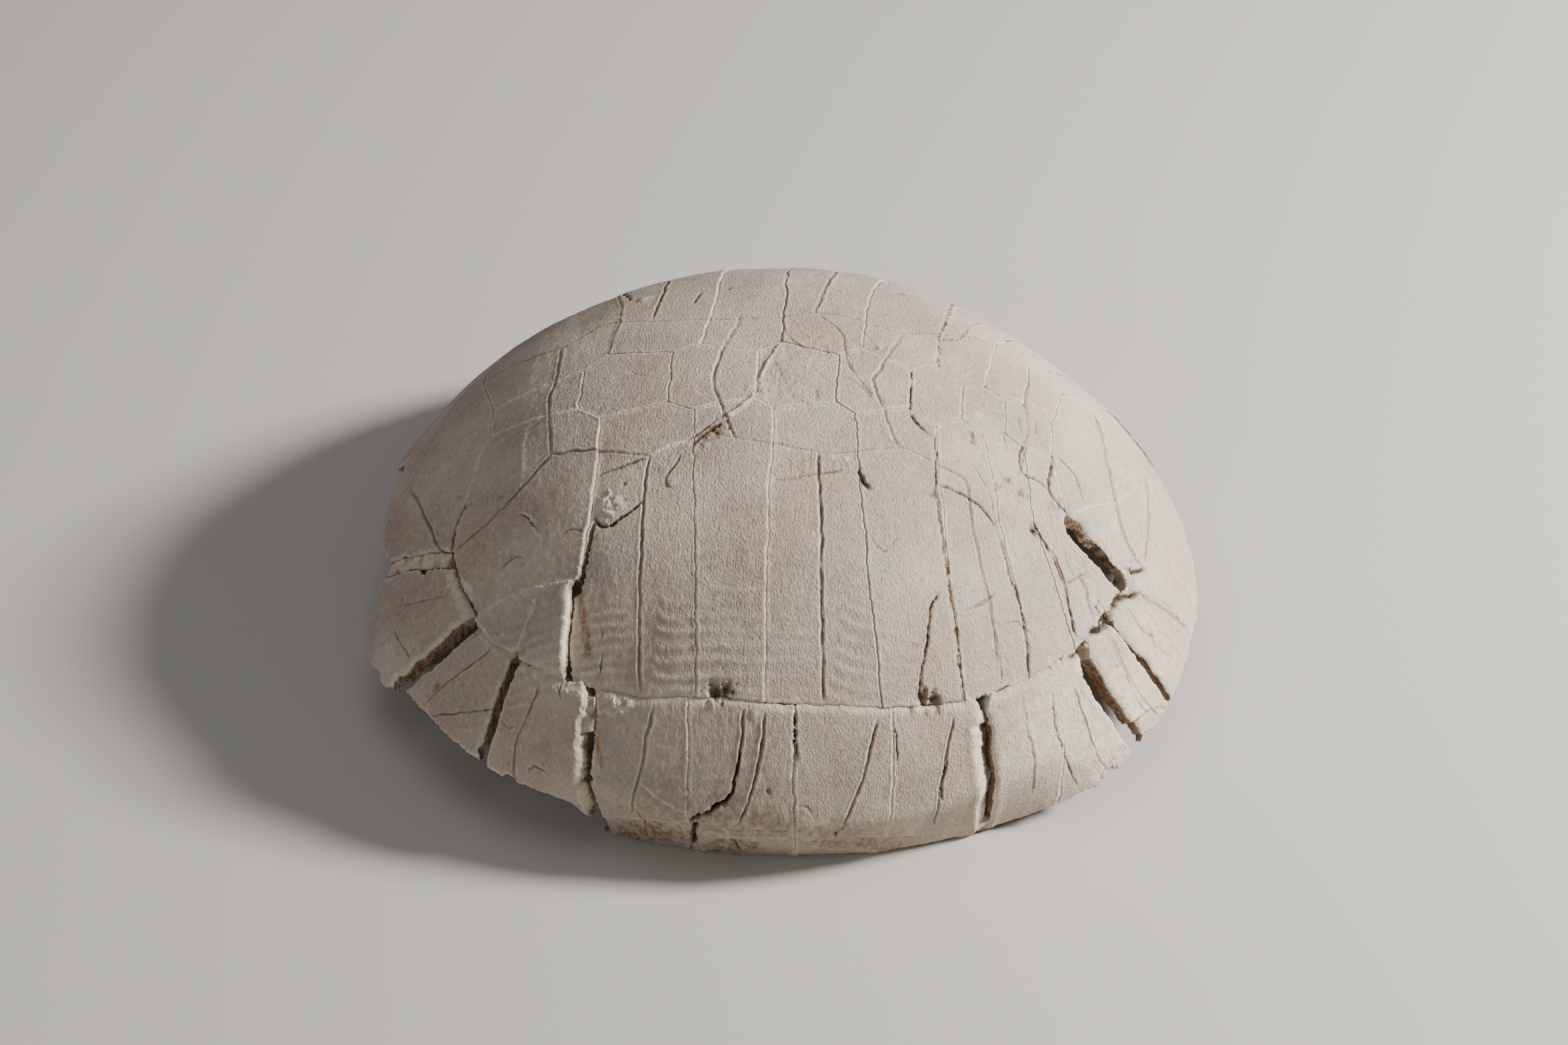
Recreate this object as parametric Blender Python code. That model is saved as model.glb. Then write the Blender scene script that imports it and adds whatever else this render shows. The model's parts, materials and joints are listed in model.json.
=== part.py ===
"""Fossil tortoise carapace: the domed upper shell as its separate bone plates.

The plates are laid out on a flat map of the shell. On the map the crown is the
origin, +u points to the tail and +v to the animal's right, and a point keeps its
bearing round the crown and its true distance from it, measured over the shell.
Each plate is a flat slab with its outline on the map, cut on one common grid and
then bent onto the dome, so that neighbours keep matching facets along a suture.
"""
import bpy
import bmesh
import numpy as np

MM = 0.001

# Driving dimensions, in millimetres and degrees
CROWN_HEIGHT = 109.0         # top of the dome above the surface that the bridge stands on
CROWN_OFFSET = (-2.8, 0.4)   # place of the crown seen from the middle of the outline
SUTURE_GAP = 0.42            # map gap of a closed suture, 0.3 mm or a little more on the shell
RING_GAP = 0.9               # gap between the costals and the marginal plates
SLOT_GAP = 7.0               # open slot between costal 8 and the suprapygals
COSTAL_THICKNESS = 4.0
NEURAL_THICKNESS = 4.5
MARGIN_THICKNESS = 6.5
RIM_THINNING = 2.0           # how much thinner a marginal plate is at the outer rim
THINNING_START = 0.78        # share of the way to the rim where the thinning starts
GRID_STEP = 14.0             # spacing of the common facet lines
GRID_OFFSET = 3.3
GRID_REACH = 210.0

# The dome, by bearing round the crown: 0 is the tail, 90 the side and 180 the head.
# Each row has the length from crown to rim and the slope a quarter, half and three
# quarters of the way down and at the rim.
MERIDIANS = {
    0: (188, 14, 32, 51, 72),
    45: (188, 14, 36, 55, 66),
    90: (188, 14.5, 38, 62, 79),
    135: (179, 13, 32, 49, 61),
    180: (179, 11, 29, 50, 60),
}
QUARTERS = np.array([0.25, 0.5, 0.75, 1.0])
ARC_STEPS = 60

# Below its keel the bridge turns under the shell
BRIDGE_BEARING = 86.0
BRIDGE_HALF_WIDTH = 48.0
BRIDGE_FADE = 16.0
BRIDGE_TURN = 34.0
KEEL_SHARE = 0.86            # share of the way to the rim where the turn begins
KEEL_ROUNDING = 0.05

# Neurals: u and half width of the front suture, then of the joint with two costals
NEURALS = [
    ((-104, 7), None),
    ((-68, 10), (-60, 17)),
    ((-37, 13), (-28, 17)),
    ((-8, 12), (-1, 17)),
    ((19, 12), (26, 17)),
    ((44, 10), (53, 16)),
    ((62, 9), (70, 13)),
    ((78, 8), (85, 11)),
]
NEURAL_END = (97, 9)

# Sutures of the left half, given from the neurals down to the ring. The first lies
# against the nuchal, and each is followed by the width of its gap.
COSTAL_SUTURES = [
    ([(-104, -7), (-111, -29), (-119, -53)], 0.9),
    ([(-60, -17), (-60, -40), (-62, -57), (-66, -78), (-71, -111)], SUTURE_GAP),
    ([(-28, -17), (-26, -50), (-24, -85), (-24, -121)], SUTURE_GAP),
    ([(-1, -17), (-1, -50), (0, -85), (1, -124)], SUTURE_GAP),
    ([(26, -17), (29, -50), (35, -85), (44, -121)], SUTURE_GAP),
    ([(53, -16), (56, -42), (63, -78), (75, -112)], 1.0),
    ([(70, -13), (78, -48), (92, -78), (99, -97)], 0.7),
    ([(85, -11), (91, -42), (102, -60), (116, -80)], 0.8),
]

# Behind costal 8 a closed suture leads to the slot, which runs out to the ring
SLOT_HEAD = (104, -35)
SLOT_TAIL = (133, -45)

# Costal 1 of the left side is broken across, and its outer end stands proud of the rest
SHARD_CRACK = [(-66, -78), (-81, -77), (-94, -77), (-103, -79), (-109, -81)]
SHARD_CRACK_GAP = 0.8
SHARD_SIDE_GAP = 4.0

# Where the costals end and the ring of marginal plates begins, head to tail
RING = [(-119, -53), (-115, -68), (-109, -81), (-101, -91), (-91, -99), (-79, -107), (-64, -115),
        (-45, -120), (-24, -121), (8, -124), (44, -121), (62, -117), (81, -110), (99, -97),
        (116, -80), (127, -63), (134, -44), (139, -22), (141, 0)]

# Outer margin, head to tail, scalloped at the marginal scutes
RIM = [(-168, 0), (-166, -15), (-158, -31), (-163, -37), (-173, -51), (-171, -67), (-161, -84),
       (-149, -91), (-138, -105), (-128, -118), (-116, -130), (-98, -145), (-80, -164),
       (-79, -178), (-54, -187), (-30, -191), (-6, -194), (18, -195), (40, -193), (60, -187),
       (84, -178), (112, -160), (121, -149), (133, -130), (143, -121), (152, -109), (157, -98),
       (166, -84), (173, -70), (181, -46), (185, -18), (187, 0)]

# Sutures between marginal plates, given from the ring to the rim. The first lies
# against the nuchal and the last against the pygal.
MARGIN_SUTURES = [
    ([(-119, -54), (-137, -45), (-157, -33)], 5.4),
    ([(-109, -81), (-128, -86), (-153, -90)], 5.0),
    ([(-91, -98), (-101, -110), (-116, -131)], 4.2),
    ([(-64, -115), (-67, -135), (-78, -166)], 4.6),
    ([(-27, -121), (-29, -150), (-30, -182)], 0.8),
    ([(12, -124), (13, -150), (18, -189)], 0.8),
    ([(48, -121), (52, -140), (57, -181)], 0.8),
    ([(82, -110), (87, -126), (96, -143), (111, -159)], 6.2),
    ([(107, -90), (117, -106), (131, -133)], 1.0),
    ([(118, -79), (130, -88), (158, -97)], 6.4),
    ([(127, -62), (142, -65), (173, -70)], 3.0),
    ([(140, -14), (162, -15), (186, -18)], 0.8),
]

# The suture between the two suprapygals bows back from the slot on each side
SUPRAPYGAL_BOW = [(121, -41), (125, -20), (126, 0)]

# The right side is less broken: its gaps are narrower, and its sutures wander off the mirror image
RIGHT_GAP_LIMIT = 1.3
WANDER_SIZE = 1.6
WANDER_LENGTH = 17.0
WANDER_START = 30.0

# Rock that still fills two gaps of the left side, inset from the bone on both sides
FILL_CLEARANCE = 0.45
FILL_SINK = 1.2
FILL_START_SHARE = 0.05      # where the rock starts, as a share of the gap from the ring to the rim
NUCHAL_FILL_SHARE = 0.94     # where it ends
BRIDGE_FILL_SHARE = 0.24

# Plates that have shifted: outward move at the middle, and extra move per mm to the tail and right
SHIFTS = {
    "peripheral_left_1": (0.6, 0.010, 0.000),
    "peripheral_left_2": (-0.4, 0.000, 0.012),
    "peripheral_left_3": (1.2, 0.022, 0.012),
    "peripheral_left_8": (0.4, -0.012, 0.000),
    "peripheral_left_10": (0.6, 0.000, -0.012),
    "costal_left_1": (0.4, 0.012, 0.000),
    "costal_left_1_outer_end": (2.0, 0.035, -0.020),
}

BONE_COLOUR = (0.40, 0.33, 0.28)
MARGIN_COLOUR = (0.47, 0.41, 0.34)
MATRIX_COLOUR = (0.52, 0.42, 0.36)
BONE_ROUGHNESS = 0.85
MATRIX_ROUGHNESS = 0.95


def clear_scene():
    for obj in list(bpy.data.objects):
        bpy.data.objects.remove(obj, do_unlink=True)


def dome_series():
    """The dome's length and slope as cosine series in the bearing."""
    bearings = sorted(MERIDIANS)
    rows = np.array([MERIDIANS[bearing] for bearing in bearings], float)
    cosines = np.cos(np.radians(bearings)[:, None] * np.arange(len(bearings)))
    series = np.linalg.solve(cosines, rows)
    powers = QUARTERS[:, None] ** np.arange(1, len(QUARTERS) + 1)
    return series[:, 0], series[:, 1:] @ np.linalg.inv(powers).T


LENGTH_SERIES, SLOPE_SERIES = dome_series()


def smooth_step(value):
    value = np.clip(value, 0.0, 1.0)
    return value * value * (3.0 - 2.0 * value)


def rim_share(points):
    """Share of the way from the crown to the rim, 0 to about 1, of each map point."""
    bearing = np.arctan2(points[:, 1], points[:, 0])
    length = np.cos(bearing[:, None] * np.arange(len(LENGTH_SERIES))) @ LENGTH_SERIES
    return np.hypot(points[:, 0], points[:, 1]) / length


def bridge_turn(share, bearing):
    """Extra slope in degrees of the strip below the keel of the bridge."""
    off_centre = np.abs(np.abs(np.degrees(bearing)) - BRIDGE_BEARING)
    across = smooth_step((BRIDGE_HALF_WIDTH - off_centre) / BRIDGE_FADE)
    return BRIDGE_TURN * across[:, None] * smooth_step((share - KEEL_SHARE) / KEEL_ROUNDING)


def dome_points(points):
    """Places map points on the dome's outer surface, in millimetres."""
    bearing = np.arctan2(points[:, 1], points[:, 0])
    share = rim_share(points)[:, None] * np.linspace(0.0, 1.0, ARC_STEPS)
    slope = bridge_turn(share, bearing)
    growth = np.cos(bearing[:, None] * np.arange(len(LENGTH_SERIES))) @ SLOPE_SERIES
    for order in range(growth.shape[1]):
        slope = slope + growth[:, order, None] * share ** (order + 1)
    angle = np.radians(slope)
    distance = np.hypot(points[:, 0], points[:, 1])
    step = 1.0 / (ARC_STEPS - 1)
    radius = distance * np.trapz(np.cos(angle), dx=step, axis=1)
    drop = distance * np.trapz(np.sin(angle), dx=step, axis=1)
    x = CROWN_OFFSET[0] + radius * np.cos(bearing)
    y = CROWN_OFFSET[1] + radius * np.sin(bearing)
    return np.stack([x, y, CROWN_HEIGHT - drop], 1)


def bend(points, outward):
    """Moves map points onto the dome, and then outward along its normal."""
    reach = 0.5
    base = dome_points(points)
    along_u = dome_points(points + np.array([reach, 0.0])) - base
    along_v = dome_points(points + np.array([0.0, reach])) - base
    normal = np.cross(along_u, along_v)
    normal /= np.linalg.norm(normal, axis=1)[:, None]
    return base + normal * outward[:, None]


def bearing_of(point):
    return np.arctan2(abs(point[1]), point[0])


def on_line(point, line):
    """Where the ray from the crown through a point crosses a line round the crown."""
    for start, end in zip(line, line[1:]):
        if bearing_of(end) <= bearing_of(point) + 1e-9 <= bearing_of(start) + 2e-9:
            matrix = np.array([[point[0], start[0] - end[0]], [point[1], start[1] - end[1]]], float)
            scale = np.linalg.solve(matrix, np.array(start, float))[0]
            return (point[0] * scale, point[1] * scale)
    return point


def stretch(line, start, end):
    """The part of a line round the crown between two points, head to tail."""
    inner = [p for p in line if bearing_of(end) + 0.01 < bearing_of(p) < bearing_of(start) - 0.01]
    return [on_line(start, line)] + inner + [on_line(end, line)]


def mirrored(points):
    return [(u, -v) for u, v in reversed(points)]


def costal_suture(index):
    points, gap = COSTAL_SUTURES[index]
    return points[:-1] + [on_line(points[-1], RING)], gap


def margin_suture(index):
    points, gap = MARGIN_SUTURES[index]
    return [on_line(points[0], RING)] + points[1:-1] + [on_line(points[-1], RIM)], gap


def neural_border():
    """The left edge of the row of neurals, head to tail."""
    border = []
    for front, joint in NEURALS:
        border.append((front[0], -front[1]))
        if joint:
            border.append((joint[0], -joint[1]))
    return border + [(NEURAL_END[0], -NEURAL_END[1])]


def neural_stretch(start, end):
    inner = [p for p in neural_border() if start[0] < p[0] < end[0]]
    return [start] + inner + [end]


def costal_sides(number):
    """Sides of a left costal plate, as lines with their gaps."""
    front, front_gap = costal_suture(number - 1)
    if number < len(COSTAL_SUTURES):
        rear, rear_gap = costal_suture(number)
        rear_sides = [(rear[::-1], rear_gap)]
    else:
        slot_end = on_line(SLOT_TAIL, RING)
        rear = [neural_border()[-1], SLOT_HEAD, slot_end]
        rear_sides = [([slot_end, SLOT_HEAD], SLOT_GAP), ([SLOT_HEAD, rear[0]], SUTURE_GAP)]
    ring = stretch(RING, front[-1], rear[-1])
    border = neural_stretch(front[0], rear[0])
    return [(front, front_gap), (ring, RING_GAP)] + rear_sides + [(border[::-1], SUTURE_GAP)]


def broken_costal_sides():
    """Left costal 1 as its two pieces: the inner part, and the outer end past the crack."""
    front, front_gap = costal_suture(0)
    rear, rear_gap = costal_suture(1)
    crack = SHARD_CRACK[:-1] + [on_line(SHARD_CRACK[-1], RING)]
    border = neural_stretch(front[0], rear[0])
    upper_ring = stretch(RING, front[-1], crack[-1])
    lower_ring = stretch(RING, crack[-1], rear[-1])
    split = rear.index(crack[0])
    inner = [(front, front_gap), (upper_ring, RING_GAP), (crack[::-1], SHARD_CRACK_GAP),
             (rear[:split + 1][::-1], rear_gap), (border[::-1], SUTURE_GAP)]
    outer = [(crack, SHARD_CRACK_GAP), (lower_ring, RING_GAP), (rear[split:][::-1], SHARD_SIDE_GAP)]
    return inner, outer


def marginal_sides(number):
    front, front_gap = margin_suture(number - 1)
    rear, rear_gap = margin_suture(number)
    rim = stretch(RIM, front[-1], rear[-1])
    ring = stretch(RING, front[0], rear[0])
    return [(front, front_gap), (rim, 0.0), (rear[::-1], rear_gap), (ring[::-1], RING_GAP)]


def neural_sides(index):
    front, joint = NEURALS[index]
    rear = NEURALS[index + 1][0] if index + 1 < len(NEURALS) else NEURAL_END
    left = [(front[0], -front[1])] + ([(joint[0], -joint[1])] if joint else []) + [(rear[0], -rear[1])]
    return [(left, SUTURE_GAP), ([left[-1], mirrored(left)[0]], SUTURE_GAP),
            (mirrored(left), SUTURE_GAP), ([mirrored(left)[-1], left[0]], SUTURE_GAP)]


def both_halves(left_sides):
    """Closes a midline plate from its left sides, which run from the midline back to it."""
    right = [(mirrored(points), min(gap, RIGHT_GAP_LIMIT)) for points, gap in reversed(left_sides)]
    return left_sides + right


def nuchal_sides():
    inner, _ = costal_suture(0)
    outer, outer_gap = margin_suture(0)
    rim = stretch(RIM, RIM[0], outer[-1])
    front = [(NEURALS[0][0][0], 0.0), inner[0]]
    return both_halves([(front, SUTURE_GAP), (inner, SUTURE_GAP), (outer, outer_gap), (rim[::-1], 0.0)])


def suprapygal_sides():
    slot_end = on_line(SLOT_TAIL, RING)
    corner = SUPRAPYGAL_BOW[0]
    front = [(NEURAL_END[0], 0.0), (NEURAL_END[0], -NEURAL_END[1])]
    bow = SUPRAPYGAL_BOW
    first = [(front, SUTURE_GAP), ([front[-1], SLOT_HEAD], SUTURE_GAP), ([SLOT_HEAD, corner], SLOT_GAP),
             (bow, SUTURE_GAP)]
    ring = stretch(RING, slot_end, RING[-1])
    second = [(bow[::-1], SUTURE_GAP), ([corner, slot_end], SLOT_GAP), (ring, RING_GAP)]
    return both_halves(first), both_halves(second)


def pygal_sides():
    suture, gap = margin_suture(MARGINALS)
    ring = stretch(RING, suture[0], RING[-1])
    rim = stretch(RIM, suture[-1], RIM[-1])
    return both_halves([(ring[::-1], RING_GAP), (suture, gap), (rim, 0.0)])


def right_sides(left_sides):
    return [(mirrored(points), min(gap, RIGHT_GAP_LIMIT)) for points, gap in reversed(left_sides)]


def walk(line, share):
    """The point at a share of a line's length."""
    line = np.array(line, float)
    lengths = np.linalg.norm(np.diff(line, axis=0), axis=1)
    travelled = np.concatenate([[0.0], np.cumsum(lengths)]) / lengths.sum()
    return np.array([np.interp(share, travelled, line[:, 0]), np.interp(share, travelled, line[:, 1])])


def fill_sides(index, end_share):
    """Sides of the rock that fills a gap between marginal plates, from the ring outwards."""
    suture, gap = margin_suture(index)
    line = np.array([walk(suture, FILL_START_SHARE), walk(suture, end_share)])
    half = gap / 2.0 - FILL_CLEARANCE
    along = line[-1] - line[0]
    across = np.array([-along[1], along[0]]) / np.linalg.norm(along) * half
    outline = [tuple(p) for p in line + across] + [tuple(p) for p in (line - across)[::-1]]
    return [(outline + outline[:1], 0.0)]


def wander(points):
    """Takes the right side's sutures a little off the mirror image of the left."""
    weight = WANDER_SIZE * smooth_step(points[:, 1] / WANDER_START)
    moved = points.copy()
    moved[:, 0] += weight * np.sin(points[:, 1] / WANDER_LENGTH + points[:, 0] / 41.0)
    moved[:, 1] += weight * 0.6 * np.sin(points[:, 0] / WANDER_LENGTH)
    return moved


def inset_outline(sides):
    """One closed outline, counter-clockwise, with each side moved in by half its gap."""
    corners = []
    insets = []
    for points, gap in sides:
        for point in points[:-1]:
            corners.append(point)
            insets.append(gap / 2.0)
    corners = wander(np.array(corners, float))
    insets = np.array(insets)
    area = np.sum(corners[:, 0] * np.roll(corners[:, 1], -1) - np.roll(corners[:, 0], -1) * corners[:, 1])
    if area < 0:
        corners = corners[::-1]
        insets = np.roll(insets[::-1], -1)
    ahead = np.roll(corners, -1, axis=0) - corners
    ahead /= np.linalg.norm(ahead, axis=1)[:, None]
    inward = np.stack([-ahead[:, 1], ahead[:, 0]], 1)
    moved = []
    for i, corner in enumerate(corners):
        before, after = inward[i - 1], inward[i]
        turn = before[0] * after[1] - before[1] * after[0]
        if abs(turn) < 0.12:
            middle = (before + after) / np.linalg.norm(before + after)
            move = middle * (insets[i - 1] + insets[i]) / 2.0
        else:
            move = np.linalg.solve(np.array([before, after]), np.array([insets[i - 1], insets[i]]))
        moved.append(corner + move)
    return np.array(moved)


def flat_slab(name, outline, thickness):
    """A flat slab with the outline, centred on the map's plane, in millimetres."""
    curve = bpy.data.curves.new(name, "CURVE")
    curve.dimensions = "2D"
    curve.fill_mode = "BOTH"
    curve.extrude = thickness / 2.0
    spline = curve.splines.new("POLY")
    spline.points.add(len(outline) - 1)
    for spline_point, (u, v) in zip(spline.points, outline):
        spline_point.co = (u, v, 0.0, 1.0)
    spline.use_cyclic_u = True
    guide = bpy.data.objects.new(name + "_outline", curve)
    bpy.context.scene.collection.objects.link(guide)
    depsgraph = bpy.context.evaluated_depsgraph_get()
    mesh = bpy.data.meshes.new_from_object(guide.evaluated_get(depsgraph))
    bpy.data.objects.remove(guide, do_unlink=True)
    bpy.data.curves.remove(curve)
    return mesh


def dice(bm):
    """Cuts the slab along the common facet lines in both map directions."""
    for axis in (0, 1):
        low = min(vertex.co[axis] for vertex in bm.verts)
        high = max(vertex.co[axis] for vertex in bm.verts)
        normal = (1.0, 0.0, 0.0) if axis == 0 else (0.0, 1.0, 0.0)
        for place in np.arange(GRID_OFFSET - GRID_REACH, GRID_REACH, GRID_STEP):
            if low + 0.5 < place < high - 0.5:
                plane_co = tuple(place * value for value in normal)
                geometry = bm.verts[:] + bm.edges[:] + bm.faces[:]
                bmesh.ops.bisect_plane(bm, geom=geometry, dist=0.02, plane_co=plane_co, plane_no=normal)


def make_material(name, colour, roughness):
    material = bpy.data.materials.new(name)
    material.use_nodes = True
    shader = material.node_tree.nodes["Principled BSDF"]
    shader.inputs["Base Color"].default_value = (*colour, 1.0)
    shader.inputs["Roughness"].default_value = roughness
    shader.inputs["Metallic"].default_value = 0.0
    return material


def cut_flat_below(bm):
    """Cuts away what reaches below the standing surface and closes the cut."""
    geometry = bm.verts[:] + bm.edges[:] + bm.faces[:]
    cut = bmesh.ops.bisect_plane(bm, geom=geometry, dist=1e-6, plane_co=(0.0, 0.0, 0.0),
                                 plane_no=(0.0, 0.0, -1.0), clear_outer=True)
    edges = [item for item in cut["geom_cut"] if isinstance(item, bmesh.types.BMEdge)]
    bmesh.ops.holes_fill(bm, edges=edges)


def make_plate(collection, name, sides, thickness, colour, roughness=BONE_ROUGHNESS, sink=0.0):
    """One plate: its flat slab, diced and bent onto the dome."""
    outline = inset_outline(sides)
    mesh = flat_slab(name, outline, thickness)
    bm = bmesh.new()
    bm.from_mesh(mesh)
    bmesh.ops.remove_doubles(bm, verts=bm.verts, dist=0.01)
    bmesh.ops.dissolve_limit(bm, angle_limit=0.01, verts=bm.verts, edges=bm.edges)
    dice(bm)
    bmesh.ops.triangulate(bm, faces=bm.faces[:])
    flat = np.array([vertex.co for vertex in bm.verts])
    depth = thickness / 2.0 - flat[:, 2]
    share = rim_share(flat[:, :2])
    thinning = smooth_step((share - THINNING_START) / (1.0 - THINNING_START))
    depth = depth * (1.0 - RIM_THINNING / MARGIN_THICKNESS * thinning)
    middle = outline.mean(axis=0)
    lift, tilt_u, tilt_v = SHIFTS.get(name, (0.0, 0.0, 0.0))
    move = lift + tilt_u * (flat[:, 0] - middle[0]) + tilt_v * (flat[:, 1] - middle[1])
    for vertex, place in zip(bm.verts, bend(flat[:, :2], move - sink - depth)):
        vertex.co = place * MM
    if name.startswith("peripheral"):
        cut_flat_below(bm)
    bmesh.ops.recalc_face_normals(bm, faces=bm.faces[:])
    bm.to_mesh(mesh)
    bm.free()
    mesh.name = name
    mesh.materials.append(make_material(name + "_bone", colour, roughness))
    plate = bpy.data.objects.new(name, mesh)
    collection.objects.link(plate)
    return plate


COSTALS = len(COSTAL_SUTURES)
MARGINALS = len(MARGIN_SUTURES) - 1


def make_shell():
    collection = bpy.data.collections.new("fossil_tortoise_carapace")
    bpy.context.scene.collection.children.link(collection)
    make_plate(collection, "nuchal", nuchal_sides(), MARGIN_THICKNESS, BONE_COLOUR)
    for index in range(len(NEURALS)):
        make_plate(collection, f"neural_{index + 1}", neural_sides(index), NEURAL_THICKNESS, BONE_COLOUR)
    first, second = suprapygal_sides()
    make_plate(collection, "suprapygal_1", first, NEURAL_THICKNESS, BONE_COLOUR)
    make_plate(collection, "suprapygal_2", second, NEURAL_THICKNESS, BONE_COLOUR)
    make_plate(collection, "pygal", pygal_sides(), MARGIN_THICKNESS, MARGIN_COLOUR)
    inner, outer = broken_costal_sides()
    make_plate(collection, "costal_left_1", inner, COSTAL_THICKNESS, BONE_COLOUR)
    make_plate(collection, "costal_left_1_outer_end", outer, COSTAL_THICKNESS, BONE_COLOUR)
    for number in range(1, COSTALS + 1):
        sides = costal_sides(number)
        if number > 1:
            make_plate(collection, f"costal_left_{number}", sides, COSTAL_THICKNESS, BONE_COLOUR)
        make_plate(collection, f"costal_right_{number}", right_sides(sides), COSTAL_THICKNESS, BONE_COLOUR)
    for number in range(1, MARGINALS + 1):
        sides = marginal_sides(number)
        make_plate(collection, f"peripheral_left_{number}", sides, MARGIN_THICKNESS, MARGIN_COLOUR)
        make_plate(collection, f"peripheral_right_{number}", right_sides(sides), MARGIN_THICKNESS, MARGIN_COLOUR)
    make_plate(collection, "matrix_nuchal_left", fill_sides(0, NUCHAL_FILL_SHARE), COSTAL_THICKNESS, MATRIX_COLOUR,
               MATRIX_ROUGHNESS, FILL_SINK)
    make_plate(collection, "matrix_bridge_left", fill_sides(3, BRIDGE_FILL_SHARE), COSTAL_THICKNESS,
               MATRIX_COLOUR, MATRIX_ROUGHNESS, FILL_SINK)


clear_scene()
make_shell()
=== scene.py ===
"""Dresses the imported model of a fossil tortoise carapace.

Every bone plate of the frame is unrolled onto a flat map of the shell, where the
crown is the origin, +u points to the tail and +v to the animal's right. There its
outline is read, and a fine grid is laid between its four corners. The grid gets
the relief that the fossil shows: scute grooves, growth rings, cracks, chips and the
pitted skin of weathered bone. Then it is rolled back onto the dome in place of the
plain solid. Lengths are in millimetres, and Blender's are in metres.
"""

import json
import logging
import math
from dataclasses import dataclass, replace
from enum import Enum, IntEnum
from functools import lru_cache, partial
from itertools import combinations

import bmesh
import bpy
import numpy as np
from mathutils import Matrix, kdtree


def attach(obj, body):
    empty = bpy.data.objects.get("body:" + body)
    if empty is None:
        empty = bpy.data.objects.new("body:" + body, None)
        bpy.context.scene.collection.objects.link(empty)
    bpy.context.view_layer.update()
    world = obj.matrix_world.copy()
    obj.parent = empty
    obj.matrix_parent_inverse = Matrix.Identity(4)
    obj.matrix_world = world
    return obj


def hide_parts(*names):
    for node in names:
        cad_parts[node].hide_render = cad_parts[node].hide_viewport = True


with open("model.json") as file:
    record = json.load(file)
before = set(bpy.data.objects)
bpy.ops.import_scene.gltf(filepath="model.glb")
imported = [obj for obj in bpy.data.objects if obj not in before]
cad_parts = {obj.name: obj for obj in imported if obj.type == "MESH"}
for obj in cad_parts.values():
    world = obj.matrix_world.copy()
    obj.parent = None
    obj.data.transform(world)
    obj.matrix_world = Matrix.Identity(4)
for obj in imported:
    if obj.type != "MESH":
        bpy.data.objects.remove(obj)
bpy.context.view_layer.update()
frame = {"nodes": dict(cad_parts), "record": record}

log = logging.getLogger("carapace")

MM = 0.001
Point = tuple[float, float]


def smooth_step(value: np.ndarray) -> np.ndarray:
    """Eases a value from 0 to 1, level at both ends."""
    value = np.clip(value, 0.0, 1.0)
    return value * value * (3.0 - 2.0 * value)


def bump(distance: np.ndarray, width: float | np.ndarray) -> np.ndarray:
    """A rounded ridge over a line, 1 on the line and near 0 at twice the width."""
    return np.exp(-(distance / width) ** 2)


class Seed(IntEnum):
    """The random sheet that each kind of unevenness is read from."""

    SWELL = 1
    DIMPLES = 2
    FINE_PITS = 3
    LINE_SWAY_U = 11
    LINE_SWAY_V = 12
    LINE_STRENGTH = 13
    CRACK_WIDTH = 14
    HAIRLINE_SHADE = 15
    RIDGE_HEIGHT = 16
    FINE_TEETH = 17
    COARSE_TEETH = 18
    TEETH_DEPTH = 19
    TEETH_SHADE = 20
    RING_FINE_SWAY = 21
    RING_HEIGHT = 22
    RING_SWAY = 23
    SPOT_OUTLINE = 31
    PATCH_OUTLINE = 33
    PATCH_LUMPS = 34
    PATCH_COLOUR = 35
    SUTURE_SWAY_U = 41
    SUTURE_SWAY_V = 42
    SUTURE_TEETH_U = 43
    SUTURE_TEETH_V = 44
    BROKEN_EDGE = 50
    EDGE_WEAR = 61
    SUTURE_STITCH = 62
    ROCK_LUMPS = 64
    ROCK_DIRT = 65
    INNER_SWELL = 71
    INNER_DIMPLES = 72
    SPONGY_WALL = 80
    WALL_DIRT = 91
    INNER_DIRT = 92


@dataclass(frozen=True)
class Noise:
    """Smooth random relief on a plane, from one seeded sheet of values.

    Attributes:
        seed: picks the sheet.
        cells: the sheet's size, after which the pattern repeats.
    """

    seed: int
    cells: int = 257

    @lru_cache
    def sheet(self) -> np.ndarray:
        """The sheet of values between -1 and 1."""
        return np.random.default_rng(int(self.seed)).uniform(-1.0, 1.0, (self.cells, self.cells))

    def at(self, points: np.ndarray, wavelength: float, octaves: int = 1) -> np.ndarray:
        """Reads the noise.

        Args:
            points: places on the plane, one row each.
            wavelength: size of the coarsest lumps.
            octaves: how many finer layers are added, each half as big and half as high.

        Returns:
            One value between about -1 and 1 for each point.
        """
        sheet = self.sheet()
        total = np.zeros(len(points))
        height = 1.0
        for octave in range(octaves):
            scaled = points / wavelength * 2.0 + 17.3 * (octave + 1)
            cell = np.floor(scaled).astype(int)
            part = smooth_step(scaled - cell)
            left, low = cell[:, 0] % self.cells, cell[:, 1] % self.cells
            right, high = (left + 1) % self.cells, (low + 1) % self.cells
            near = sheet[left, low] * (1.0 - part[:, 0]) + sheet[right, low] * part[:, 0]
            far = sheet[left, high] * (1.0 - part[:, 0]) + sheet[right, high] * part[:, 0]
            total += height * (near * (1.0 - part[:, 1]) + far * part[:, 1])
            height *= 0.5
            wavelength *= 0.5
        return total


def sway(points: np.ndarray, seeds: tuple[Seed, Seed], wavelength: float, octaves: int = 1) -> np.ndarray:
    """A random (u, v) row for each map point."""
    return np.stack([Noise(seed).at(points, wavelength, octaves) for seed in seeds], 1)


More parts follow.
